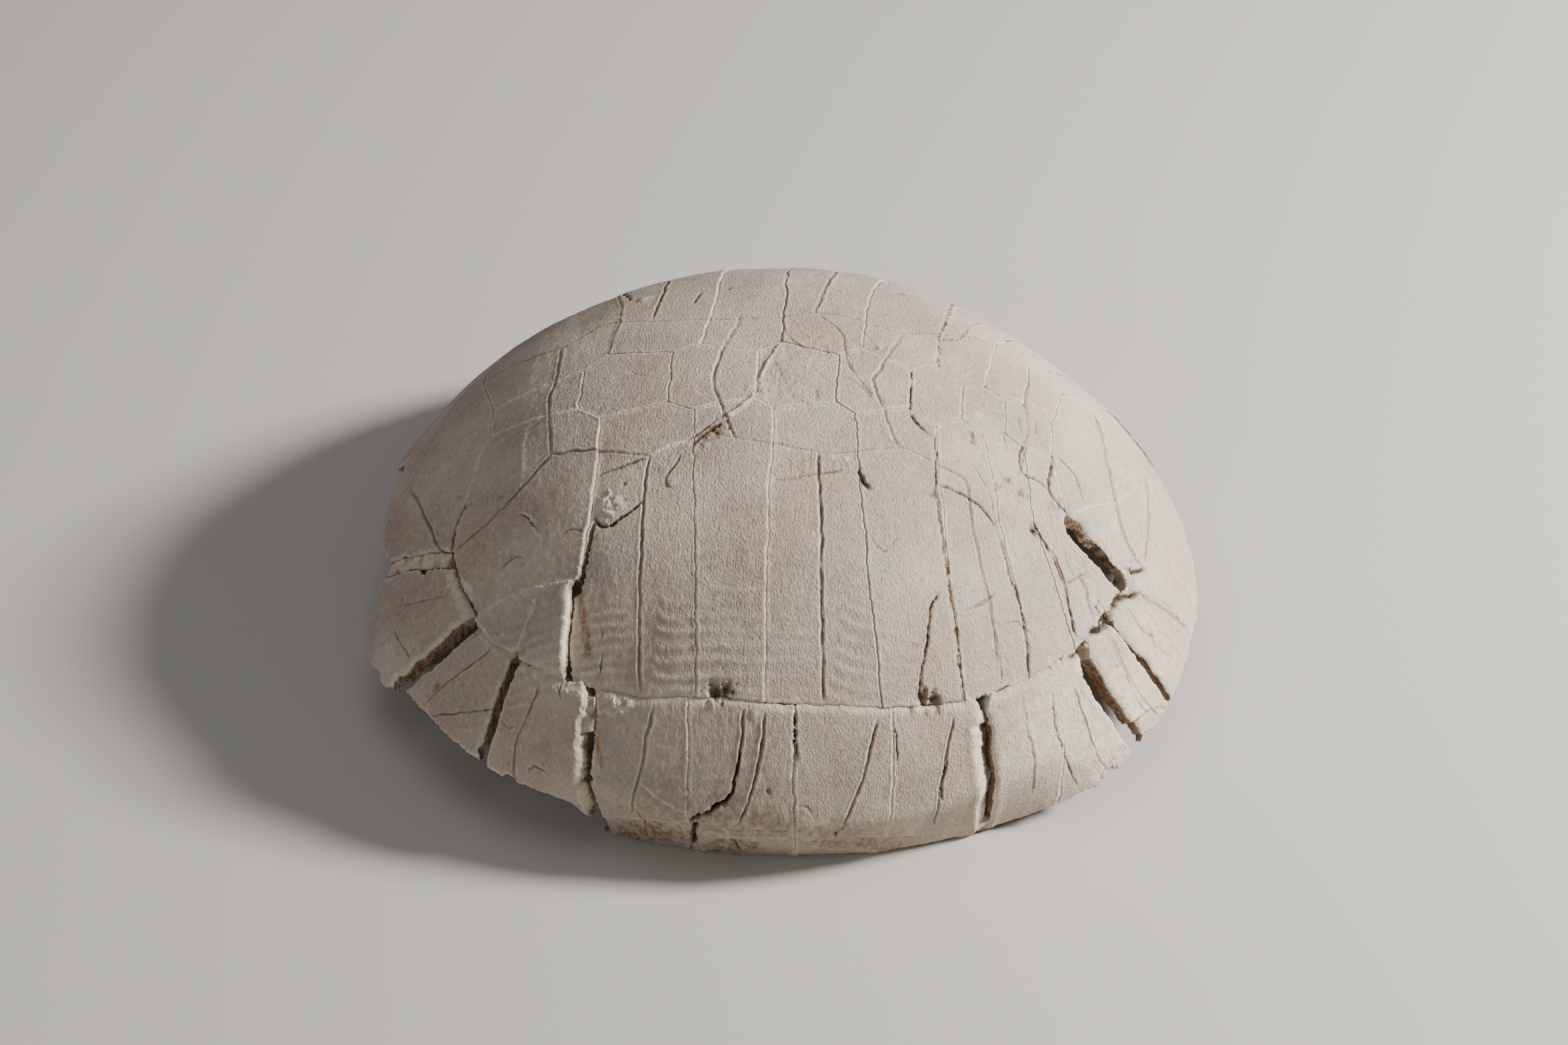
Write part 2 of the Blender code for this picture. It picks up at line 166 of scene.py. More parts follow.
@dataclass(frozen=True)
class Dome:
    """The shell's outer surface, and the way between it and the flat map.

    A map point keeps its bearing round the crown and its distance from it, measured
    down over the dome.

    Attributes:
        crown: place of the dome's top.
        meridians: by bearing in degrees, 0 at the tail and 180 at the head, the length
            from crown to rim and the slope at each quarter of it.
        bridge: bearing, half width and fade of the bridge, in degrees.
        keel: share of the length where the bridge turns under, and where it has turned.
        turn: extra slope below the keel, in degrees.
        steps: how many places the slope is summed at, from the crown down.
        landmark_grid: how many bearings and distances the landmarks have.
        landmark_reach: how far from the crown they go.
    """

    crown: tuple[float, float, float] = (-2.8, 0.4, 109.0)
    meridians: tuple[tuple[float, ...], ...] = (
        (188.0, 14.0, 32.0, 51.0, 72.0),
        (188.0, 14.0, 36.0, 55.0, 66.0),
        (188.0, 14.5, 38.0, 62.0, 79.0),
        (179.0, 13.0, 32.0, 49.0, 61.0),
        (179.0, 11.0, 29.0, 50.0, 60.0),
    )
    bridge: tuple[float, float, float] = (86.0, 48.0, 16.0)
    keel: tuple[float, float] = (0.86, 0.91)
    turn: float = 34.0
    steps: int = 60
    landmark_grid: tuple[int, int] = (121, 80)
    landmark_reach: float = 204.0

    def series(self) -> tuple[np.ndarray, np.ndarray]:
        """Makes cosine series in the bearing of the meridians.

        Returns:
            The series of their lengths, and of the slopes' powers of the share.
        """
        count = len(self.meridians)
        bearings = np.linspace(0.0, math.pi, count)
        table = np.linalg.solve(np.cos(bearings[:, None] * np.arange(count)), np.array(self.meridians))
        quarters = np.array([0.25, 0.5, 0.75, 1.0])
        powers = quarters[:, None] ** np.arange(1, count)
        return table[:, 0], table[:, 1:] @ np.linalg.inv(powers).T

    def share(self, points: np.ndarray) -> np.ndarray:
        """Measures how far towards the rim each map point is.

        Args:
            points: (u, v) rows.

        Returns:
            One share for each, 0 at the crown and about 1 at the rim.
        """
        lengths, _ = self.series()
        bearing = np.arctan2(points[:, 1], points[:, 0])
        length = np.cos(bearing[:, None] * np.arange(len(lengths))) @ lengths
        return np.hypot(points[:, 0], points[:, 1]) / length

    def surface(self, points: np.ndarray) -> np.ndarray:
        """Rolls map points onto the dome.

        Args:
            points: (u, v) rows.

        Returns:
            (x, y, z) rows on the outer surface.
        """
        _, slopes = self.series()
        bearing = np.arctan2(points[:, 1], points[:, 0])
        share = self.share(points)[:, None] * np.linspace(0.0, 1.0, self.steps)
        growth = np.cos(bearing[:, None] * np.arange(len(slopes))) @ slopes
        middle, half, fade = self.bridge
        across = smooth_step((half - np.abs(np.abs(np.degrees(bearing)) - middle)) / fade)
        start, end = self.keel
        slope = self.turn * across[:, None] * smooth_step((share - start) / (end - start))
        for order in range(growth.shape[1]):
            slope = slope + growth[:, order, None] * share ** (order + 1)
        angle = np.radians(slope)
        distance = np.hypot(points[:, 0], points[:, 1])
        piece = 1.0 / (self.steps - 1)
        radius = distance * np.trapz(np.cos(angle), dx=piece, axis=1)
        drop = distance * np.trapz(np.sin(angle), dx=piece, axis=1)
        return np.stack([self.crown[0] + radius * np.cos(bearing),
                         self.crown[1] + radius * np.sin(bearing), self.crown[2] - drop], 1)

    def frame_at(self, points: np.ndarray) -> tuple[np.ndarray, np.ndarray, np.ndarray, np.ndarray]:
        """Finds how the dome lies at map points.

        Args:
            points: (u, v) rows.

        Returns:
            Their places, the directions of u and of v there, and the outward normals.
        """
        reach = 0.5
        base = self.surface(points)
        along_u = (self.surface(points + np.array([reach, 0.0])) - base) / reach
        along_v = (self.surface(points + np.array([0.0, reach])) - base) / reach
        normal = np.cross(along_u, along_v)
        normal /= np.linalg.norm(normal, axis=1)[:, None]
        return base, along_u, along_v, normal

    def roll(self, points: np.ndarray, outward: np.ndarray) -> np.ndarray:
        """Rolls map points onto the dome and moves them outward along its normal."""
        base, _, _, normal = self.frame_at(points)
        return base + normal * outward[:, None]

    @lru_cache
    def landmarks(self) -> tuple[np.ndarray, kdtree.KDTree]:
        """Spreads map points over the whole dome.

        Returns:
            Their (u, v) rows, and a tree that finds the nearest one in space.
        """
        around, outward = self.landmark_grid
        bearings, distances = np.meshgrid(np.linspace(-math.pi, math.pi, around),
                                          np.linspace(0.5, self.landmark_reach, outward))
        points = np.stack([(distances * np.cos(bearings)).ravel(),
                           (distances * np.sin(bearings)).ravel()], 1)
        tree = kdtree.KDTree(len(points))
        for index, place in enumerate(self.surface(points)):
            tree.insert(place, index)
        tree.balance()
        return points, tree

    def unroll(self, places: np.ndarray) -> tuple[np.ndarray, np.ndarray]:
        """Finds where points near the dome lie on the map.

        Args:
            places: (x, y, z) rows.

        Returns:
            The (u, v) rows, and how far outward of the surface each point is.
        """
        starts, tree = self.landmarks()
        points = np.array([starts[tree.find(place)[1]] for place in places])
        outward = np.zeros(len(places))
        for _ in range(5):
            base, along_u, along_v, normal = self.frame_at(points)
            axes = np.stack([along_u, along_v, normal], 2)
            step = np.linalg.solve(axes, (places - base)[:, :, None])[:, :, 0]
            points = points + step[:, :2]
            outward = step[:, 2]
        return points, outward


DOME = Dome()


def line_distance(points: np.ndarray, line: np.ndarray) -> tuple[np.ndarray, np.ndarray, np.ndarray]:
    """Measures points against a line of straight pieces.

    Args:
        points: (u, v) rows.
        line: the line's corners, one row each.

    Returns:
        Distance to the line, the side as +1 to its left and -1 to its right, and how
        far along the line the nearest place is, in millimetres.
    """
    start, along = line[:-1], np.diff(line, axis=0)
    length = np.linalg.norm(along, axis=1)
    offset = points[:, None, :] - start[None]
    share = np.clip((offset * along).sum(2) / length ** 2, 0.0, 1.0)
    apart = np.linalg.norm(offset - share[:, :, None] * along, axis=2)
    nearest = apart.argmin(1)
    rows = np.arange(len(points))
    turn = along[nearest, 0] * offset[rows, nearest, 1] - along[nearest, 1] * offset[rows, nearest, 0]
    travelled = np.concatenate([[0.0], np.cumsum(length)])[nearest] + share[rows, nearest] * length[nearest]
    return apart[rows, nearest], np.where(turn >= 0.0, 1.0, -1.0), travelled


def smooth_line(corners: tuple[Point, ...], step: float = 2.0) -> np.ndarray:
    """Draws a smooth curve through a few points.

    Args:
        corners: the points, two or more.
        step: spacing of the curve's own points.

    Returns:
        The curve's points, one row each.
    """
    knots = np.array(corners, float)
    if len(knots) == 2:
        return knots
    padded = np.vstack([2 * knots[0] - knots[1], knots, 2 * knots[-1] - knots[-2]])
    pieces = []
    for before, start, end, after in zip(padded, padded[1:], padded[2:], padded[3:]):
        count = max(2, int(np.linalg.norm(end - start) / step))
        share = np.linspace(0.0, 1.0, count, endpoint=False)[:, None]
        pieces.append(0.5 * (2 * start + (end - before) * share
                             + (2 * before - 5 * start + 4 * end - after) * share ** 2
                             + (3 * start - before - 3 * end + after) * share ** 3))
    return np.vstack(pieces + [knots[-1:]])


class MarkKind(Enum):
    """What a mark on the bone is."""

    SULCUS = "groove between two horny scutes"
    CRACK = "open crack"
    TOOTHED = "open suture with toothed, spongy sides"
    HAIRLINE = "fine closed crack"
    RIDGE = "raised line"
    STEP = "edge where the bone to the line's left stands higher"
    PIT = "hole"
    LUMP = "lump of rock"


@dataclass(frozen=True)
class Mark:
    """One mark on the bone's outer face.

    Attributes:
        kind: what it is.
        line: its course on the map, head to tail or crown to rim.
        width: half its width.
        height: its depth or height.
        dirt: how brown its bed is, 0 to 1.
        pale: how light its edges are, 0 to 1; a groove's lip to the right of its line gets more, a painted
            highlight.
        opening: how much wider it is at its end than at its start.
    """

    kind: MarkKind
    line: tuple[Point, ...]
    width: float = 0.6
    height: float = 0.6
    dirt: float = 0.0
    pale: float = 0.0
    opening: float = 1.0

    def mirrored(self) -> "Mark":
        """The same mark on the other half of the shell, where it runs a little nearer the head."""
        return replace(self, line=tuple((u - 3.5 + 1.5 * math.sin(v / 15.0), -v) for u, v in self.line))


# How far a mark's line may sway, how far a step's lift reaches, and over what length it fades
LINE_SWAY_REACH = 2.5
STEP_REACH = 16.0
STEP_FADE = 6.0


@dataclass
class Skin:
    """What the bone's outer face has at each point of a grid.

    Attributes:
        points: (u, v) rows.
        height: relief above the plain dome.
        stain: brown dirt, 0 to 1, with painted shade in growth-row troughs, on the lower bridge and along
            the back's edge at the margin.
        dark: depth of shade in open cracks, 0 to 1.
        pale: light worn edges and chalk, 0 to 1, with painted highlights on one lip of each groove, on
            growth-row crests and towards the tail.
        ochre: yellow iron stain, 0 to 1.
    """

    points: np.ndarray
    height: np.ndarray
    stain: np.ndarray
    dark: np.ndarray
    pale: np.ndarray
    ochre: np.ndarray

    @classmethod
    def plain(cls, points: np.ndarray) -> "Skin":
        """A skin with no marks yet."""
        return cls(points, *(np.zeros(len(points)) for _ in range(5)))

    def near(self, low: np.ndarray, high: np.ndarray) -> np.ndarray:
        """Rows of the points in a box on the map."""
        return np.nonzero(((self.points > low) & (self.points < high)).all(axis=1))[0]

    def cover(self, near: np.ndarray | slice, **shares: np.ndarray) -> None:
        """Raises stain, dark, pale or ochre to the shares given, where they are lower.

        Args:
            near: rows of the points.
            shares: by name, the share at each of them.
        """
        for name, share in shares.items():
            values = getattr(self, name)
            values[near] = np.maximum(values[near], share)

    def draw(self, mark: Mark) -> None:
        """Cuts or raises one mark.

        Args:
            mark: the mark to add.
        """
        corners = np.array(mark.line, float)
        reach = 5.0 * mark.width * max(mark.opening, 1.0) + LINE_SWAY_REACH
        if mark.kind is MarkKind.STEP:
            reach = STEP_REACH
        near = self.near(corners.min(axis=0) - reach, corners.max(axis=0) + reach)
        if len(near) == 0:
            return
        points = self.points[near]
        if len(mark.line) == 1:
            ragged = 1.0 + 0.45 * Noise(Seed.SPOT_OUTLINE).at(points, 2.6, 2)
            distance = np.linalg.norm(points - corners[0], axis=1) * ragged
            self.spot(mark, near, distance)
            return
        wobble = sway(points, (Seed.LINE_SWAY_U, Seed.LINE_SWAY_V), 8.0, 3)
        line = smooth_line(mark.line)
        distance, side, travelled = line_distance(points + 0.4 * wobble, line)
        total = np.linalg.norm(np.diff(line, axis=0), axis=1).sum()
        ends = smooth_step(np.minimum(travelled, total - travelled) / 5.0 + 0.3)
        vary = 1.0 + 0.3 * Noise(Seed.LINE_STRENGTH).at(points, 7.0)
        wider = 1.0 + (mark.opening - 1.0) * travelled / total
        self.groove(mark, near, distance / wider, side, ends * vary)

    def spot(self, mark: Mark, near: np.ndarray, distance: np.ndarray) -> None:
        """Adds a pit or a lump round one point.

        Args:
            mark: the mark.
            near: rows of the points in its reach.
            distance: their distance from its middle.
        """
        shape = 1.0 - smooth_step(distance / (2.0 * mark.width))
        sign = 1.0 if mark.kind is MarkKind.LUMP else -1.0
        self.height[near] += sign * mark.height * shape
        shade = 0.3 if mark.kind is MarkKind.PIT else 0.0
        self.cover(near, stain=mark.dirt * shape, pale=mark.pale * shape, dark=shade * shape)

    def groove(self, mark: Mark, near: np.ndarray, distance: np.ndarray, side: np.ndarray,
               strength: np.ndarray) -> None:
        """Adds a mark that runs along a line.

        Args:
            mark: the mark.
            near: rows of the points in its reach.
            distance: their distance from the line.
            side: which side of it they are on.
            strength: how strong the mark is at each.
        """
        points = self.points[near]
        bed = bump(distance, mark.width)
        lip = bump(distance - 2.2 * mark.width, 1.1 * mark.width)
        height, dark, pale = np.zeros(len(near)), np.zeros(len(near)), mark.pale * lip
        stain = mark.dirt * bump(distance, 1.3 * mark.width)
        if mark.kind is MarkKind.SULCUS:
            height = -mark.height * bed + 0.3 * mark.height * lip
            dark = 0.5 * bed
            # The lip to the right of the line is painted lighter than the one to its left: a painted
            # highlight on the slope that faces the key lamp.
            pale = pale * (0.65 - 0.35 * side)
        elif mark.kind is MarkKind.CRACK:
            ragged = 1.0 + 0.6 * Noise(Seed.CRACK_WIDTH).at(points, 2.4, 2)
            bed = 1.0 - smooth_step(distance / (mark.width * np.maximum(ragged, 0.3)) - 0.5)
            height = -mark.height * bed
            dark = bed
            pale = mark.pale * bump(distance - 1.6 * mark.width, 0.7 * mark.width)
        elif mark.kind is MarkKind.TOOTHED:
            ragged = distance + 0.6 * mark.width * Noise(Seed.FINE_TEETH).at(points, 1.5)
            ragged = ragged + 0.3 * Noise(Seed.COARSE_TEETH).at(points, 5.0)
            bed = 1.0 - smooth_step(ragged / (1.3 * mark.width) - 0.25)
            height = -mark.height * bed * (0.7 + 0.5 * Noise(Seed.TEETH_DEPTH).at(points, 1.7))
            dark = 0.45 * bed * smooth_step(0.5 + Noise(Seed.TEETH_SHADE).at(points, 1.3))
            stain = mark.dirt * bed
            pale = mark.pale * bump(distance - 2.0 * mark.width, 0.8 * mark.width)
        elif mark.kind is MarkKind.HAIRLINE:
            height = -mark.height * bed
            dark = 0.65 * bed * smooth_step(0.8 + Noise(Seed.HAIRLINE_SHADE).at(points, 6.0))
        elif mark.kind is MarkKind.RIDGE:
            ragged = 1.0 + 0.5 * Noise(Seed.RIDGE_HEIGHT).at(points, 3.0, 2)
            height = mark.height * bump(distance, mark.width) * ragged
            pale = mark.pale * bump(distance, 1.2 * mark.width)
        elif mark.kind is MarkKind.STEP:
            edge = smooth_step(0.5 + side * distance / (2.0 * mark.width))
            height = mark.height * (edge - 0.5) * np.exp(-distance / STEP_FADE)
            pale = mark.pale * bump(distance - mark.width, mark.width) * (side > 0)
            stain = mark.dirt * bump(distance - mark.width, 1.4 * mark.width) * (side < 0)
        self.height[near] += height * strength
        self.cover(near, stain=stain * strength, dark=dark * strength, pale=pale * strength)


@dataclass(frozen=True)
class Patch:
    """A ragged area where the bone's face is peeled, rough, dirty or chalky.

    Attributes:
        place: its middle on the map.
        reach: half its size along u and along v.
        turn: how far it is turned, in degrees.
        depth: how deep the face is peeled.
        rough: height of the roughness in it.
        stain: brown dirt in it; the broad soft stains of the lower bridge are painted shade.
        pale: chalk on it; the broad pale areas towards the tail are partly painted highlight.
        ochre: yellow stain in it.
        soft: how gradually it ends, as a share of its size.
    """

    place: Point
    reach: Point
    turn: float = 0.0
    depth: float = 0.0
    rough: float = 0.0
    stain: float = 0.0
    pale: float = 0.0
    ochre: float = 0.0
    soft: float = 0.25

    def lay(self, skin: Skin) -> None:
        """Puts the patch on a skin.

        Args:
            skin: the skin, which is changed.
        """
        reach = 1.6 * max(self.reach)
        near = skin.near(np.array(self.place) - reach, np.array(self.place) + reach)
        if len(near) == 0:
            return
        points = skin.points[near]
        turn = math.radians(self.turn)
        offset = points - np.array(self.place)
        along = (offset[:, 0] * math.cos(turn) + offset[:, 1] * math.sin(turn)) / self.reach[0]
        across = (offset[:, 1] * math.cos(turn) - offset[:, 0] * math.sin(turn)) / self.reach[1]
        away = np.hypot(along, across) * (1.0 + 0.3 * Noise(Seed.PATCH_OUTLINE).at(points, 5.0, 3))
        shape = 1.0 - smooth_step((away - 1.0 + self.soft) / self.soft)
        lumps = Noise(Seed.PATCH_LUMPS).at(points, 2.6, 3)
        skin.height[near] += shape * (self.rough * lumps - self.depth)
        patchy = np.clip(0.6 + 0.6 * Noise(Seed.PATCH_COLOUR).at(points, 3.5, 2), 0.0, 1.0)
        skin.cover(near, stain=self.stain * shape * patchy, pale=self.pale * shape * patchy,
                   ochre=self.ochre * shape * patchy)


def along(kind: MarkKind, *line: Point, **sizes: float) -> Mark:
    """A mark that runs along a line."""
    return Mark(kind, line, **sizes)


# The marks with their usual sizes
sulcus = partial(along, MarkKind.SULCUS, width=0.36, height=0.45, dirt=0.3, pale=0.45)
crack = partial(along, MarkKind.CRACK, width=0.4, height=1.0, dirt=0.7, pale=0.3)
toothed = partial(along, MarkKind.TOOTHED, width=0.6, height=0.8, dirt=0.95, pale=0.4, opening=1.3)
hairline = partial(along, MarkKind.HAIRLINE, width=0.27, height=0.22, dirt=0.25, pale=0.3)
ridge = partial(along, MarkKind.RIDGE, width=0.5, height=0.25, pale=0.6)
step = partial(along, MarkKind.STEP, width=0.4, height=0.7, dirt=0.3, pale=0.5)


def pit(u: float, v: float, width: float = 0.9, height: float = 0.9, dirt: float = 0.9) -> Mark:
    """A small hole."""
    return Mark(MarkKind.PIT, ((u, v),), width, height, dirt)


def lump(u: float, v: float, width: float = 1.4, height: float = 0.8, dirt: float = 0.0,
         pale: float = 0.5) -> Mark:
    """A small lump of rock or chalk on the bone."""
    return Mark(MarkKind.LUMP, ((u, v),), width, height, dirt, pale)


# Grooves between the scutes along the middle of the back, with its edges on both sides
MIDDLE_GROOVES = (
    sulcus((-80, 32), (-79, 15), (-80, 0), (-79, -10), (-77, -28), dirt=0.2, pale=0.35),
    sulcus((-16, 35), (-16, 30), (-20, 12), (-22, -3), (-19, -15), (-13, -32), width=0.38, height=0.5,
           pale=0.8),
    sulcus((41, 31), (35, 12), (31.4, 2), (31.4, 0), (34, -10), (41, -30), width=0.38, pale=0.75),
    sulcus((88, 30), (86, 12), (87, 0), (86, -12), (84, -26), width=0.35, height=0.3, dirt=0.1, pale=0.2),
    sulcus((-77, -28), (-59, -31), (-42, -36), width=0.4, pale=0.3),
    sulcus((-22, -27), (-13, -31), (-1, -33), (14, -35), (26, -34), (42, -29), (54, -33), width=0.32,
           height=0.3, dirt=0.15, pale=0.5),
    ridge((-43, -36), (-34, -32), (-29, -31), width=0.7, height=0.4, pale=0.8),
    sulcus((-118, 39), (-100, 35), (-80, 32), (-65, 40), (-43, 34), (-16, 32), width=0.4, height=0.4,
           dirt=0.2, pale=0.6),
    sulcus((-16, 32), (0, 33), (10, 36), (26, 34), (41, 31), (65, 42), (82, 50), height=0.35, dirt=0.2,
           pale=0.5),
    sulcus((-77, -28), (-85, -36), (-93, -42), (-104, -47), (-117, -51), width=0.4, height=0.5, dirt=0.4,
           pale=0.2),
    ridge((-89, 39), (-101, 35), (-112, 32), width=0.4, height=0.15, pale=0.5),
    sulcus((-147, -3), (-140, -14), (-130, -36), (-122, -52), width=0.45, height=0.65, dirt=0.4, pale=0.35),
    sulcus((-147, 3), (-139, 16), (-129, 36), (-121, 50), width=0.45, height=0.6, pale=0.4),
    sulcus((-147, -3), (-147, 3)), sulcus((-147, -3), (-157, -4), (-168, -4), height=0.4),
    sulcus((-147, 3), (-157, 4), (-168, 4), height=0.4),
    sulcus((121, 9), (125, -9), (128, -19), (133, -26), (142, -31), width=0.6, dirt=0.2, pale=0.4),
    sulcus((119, 40), (120, 26), (121, 9), width=0.5, height=0.4, dirt=0.2, pale=0.3),
    sulcus((145, 26), (144, 5), (143, -27), width=0.45, height=0.35, dirt=0.35, pale=0.4),
)

# Grooves of one side, from the middle row of scutes down to the rim
SIDE_GROOVES = (
    sulcus((-42, -36), (-43, -57), (-44, -88), (-45, -118), width=0.38, height=0.55, dirt=0.4, pale=0.85),
    sulcus((14, -35), (15, -43), (18, -80), (22, -121), width=0.42, height=0.65, dirt=0.5, pale=0.8),
    sulcus((54, -33), (63, -35), (65, -37), (67, -44), (69, -55), (77, -74), (85, -96), width=0.38,
           dirt=0.25),
    sulcus((-40, -124), (-43, -131), (-46, -141), (-51, -152), (-56, -162), width=0.42, height=0.55,
           pale=0.6),
    sulcus((1, -127), (0, -140), (-3, -152), (-9, -166), width=0.42, height=0.75, dirt=0.5, pale=0.8),
    sulcus((43, -125), (42, -133), (40, -148), (35, -164), width=0.42, height=0.6, dirt=0.45, pale=0.85),
    sulcus((72, -118), (72, -129), (73, -147), (78, -160), width=0.4, height=0.55, dirt=0.4, pale=0.6),
    sulcus((97, -103), (103, -114), (117, -134), width=0.38, height=0.4, pale=0.3),
    sulcus((119, -92), (129, -103), (138, -110), (150, -113), width=0.38, height=0.35, dirt=0.25, pale=0.2),
    sulcus((-83, -110), (-88, -117), (-96, -126), (-104, -140), width=0.38, pale=0.3),
    sulcus((-102, -92), (-111, -95), (-128, -98), (-138, -101), width=0.3, height=0.25, dirt=0.25,
           pale=0.2),
    sulcus((133, -68), (142, -75), (155, -80), (166, -80), width=0.35, height=0.35, dirt=0.2),
)

# Breaks, cracks and crusts on the head end of the side that the photograph shows
LEFT_HEAD_DAMAGE = (
    crack((-112, -33), (-117, -41), (-119, -49), (-118, -58), (-108, -80), width=0.42, dirt=0.6, pale=0.4),
    crack((-60, -57), (-62, -65), (-64, -73), (-67, -84), width=0.3, height=2.0, dirt=0.6, pale=0.5,
          opening=3.0),
    crack((-61, -57), (-57, -61), (-50, -58), (-43, -53), width=0.42, pale=0.4), lump(-57, -53, 2.2, 0.9),
    lump(-53, -52, 1.6), lump(-55, -56, 1.3, 0.7), lump(-51, -54, 1.2, 0.5),
    hairline((-43, -37), (-51, -39), (-60, -41), width=0.4, dirt=0.9, pale=0.1),
    ridge((-88, -12), (-88, -24), (-88, -36), height=0.15, pale=0.4),
    hairline((-88, -14), (-84, -12), (-79, -10)),
    hairline((-31, -36), (-33, -41), (-36, -46), (-34, -50), width=0.35, height=0.35, dirt=0.6),
    step((-36, -46), (-34, -49), (-31, -49), height=0.5), pit(-50, -46, 0.7, 0.5, 0.6),
    crack((-89, -49), (-86, -50), (-83, -54), (-81, -57), width=0.3, height=0.35, dirt=0.3, pale=0.5),
    step((-81, -57), (-84, -50), (-89, -47), height=0.35, dirt=0.2),
    hairline((-72, -61), (-67, -60), (-63, -62), dirt=0.5),
    hairline((-96, -66), (-90, -64), (-86, -66), dirt=0.7),
    hairline((-58, -104), (-60, -111), width=0.3, height=0.4, dirt=0.9),
    hairline((-58, -95), (-58, -99), dirt=0.9),
    step((-91, -98), (-88, -94), (-84, -87), (-81, -81), height=0.9, dirt=0.4, pale=0.9),
    ridge((-81, -81), (-84, -87), (-88, -94), (-91, -98), width=0.6, height=0.35, pale=0.9),
    hairline((-152, -65), (-147, -74), (-142, -82), width=0.35, dirt=0.6),
    hairline((-152, -56), (-137, -62), (-121, -67), dirt=0.2, pale=0.1),
    hairline((-136, -106), (-122, -110), (-106, -113), dirt=0.5, pale=0.1),
    hairline((-102, -118), (-98, -122), (-93, -120), dirt=0.5),
    hairline((-74, -110), (-75, -114), (-74, -117), pale=0.5), pit(-131, -97, 1.2, 0.45, 0.5),
    lump(-132, -95, 0.8, 0.3, 0.0, 0.4),
)

# Breaks, cracks and crusts along the middle of the back
MIDDLE_DAMAGE = (
    step((0, 20), (-1, 17), (-3, 12), (-6, 0), (-8, -10), (-17, -20), (-23, -26), (-29, -31), width=0.5,
         dirt=0.2, pale=0.8),
    ridge((-28, -31), (-22, -26), (-15, -20), (-9, -12), (-6, 0), (-3, 12), (-1, 19), width=0.8,
          height=0.35, pale=0.8),
    crack((-28, -33), (-23, -28), (-17, -23), width=0.5, height=0.6, dirt=0.9, pale=0.2),
    hairline((-24, -24), (-20, -28), (-18, -31), dirt=0.9),
    hairline((-20, -21), (-17, -26), (-14, -28), dirt=0.9), hairline((-3, 8), (2, -3)),
    hairline((1, 22), (5, 16), (9, 15), width=0.4, height=0.4, dirt=0.6),
    hairline((11, 35), (19, 26), (21, 16), (24, 5), (32, -8), width=0.32, height=0.4, dirt=0.5),
    hairline((20, 1), (26, -2), (32, -9), width=0.32, height=0.35, dirt=0.6),
    crack((12, -7), (12.6, -11), width=0.35, height=0.6, dirt=0.6),
    step((5, -6), (7, -11), (12, -14), height=0.3), hairline((25, 30), (29, 24), (34, 16)),
    step((27, 21), (31, 16), (33, 17), (34, 22), height=0.45), pit(31, 18, 0.8, 0.5, 0.5),
    pit(-7, -9, 0.9, 0.6, 0.5), lump(-10, -7, 1.1, 0.5), lump(-5, -12, 1.0, 0.4),
    hairline((0, -48), (5, -47), (13, -45), (25, -41), dirt=0.8, pale=0.0),
    crack((28, -40), (30, -46), (33, -48), width=0.55, height=0.9, dirt=1.0, pale=0.2),
    lump(14, -36, 0.9, 0.3, 0.0, 0.9), lump(19, -37, 0.9, 0.3, 0.0, 0.9), lump(24, -37, 0.8, 0.3, 0.0, 0.9),
    crack((44, 11), (44, 0), (44, -12), width=0.25, height=0.5, dirt=0.6),
    crack((44, -12), (48, -18), (52, -21), height=0.7, dirt=0.9),
    crack((53, -20), (54, -31), (54, -44), width=0.28, height=0.6, pale=0.4), pit(54, -45, 1.0),
    hairline((-15, 66), (-7, 62), (-3, 58)), hairline((13, 60), (18, 55), (22, 56)), lump(67, -4, 1.8, 0.4),
    crack((-31, 57), (-33, 45), width=0.35, height=0.6, dirt=0.6),
    hairline((34, -20), (36, -26), (42, -28), dirt=0.6), hairline((-52, 6), (-47, 2), (-44, 4), dirt=0.3),
)

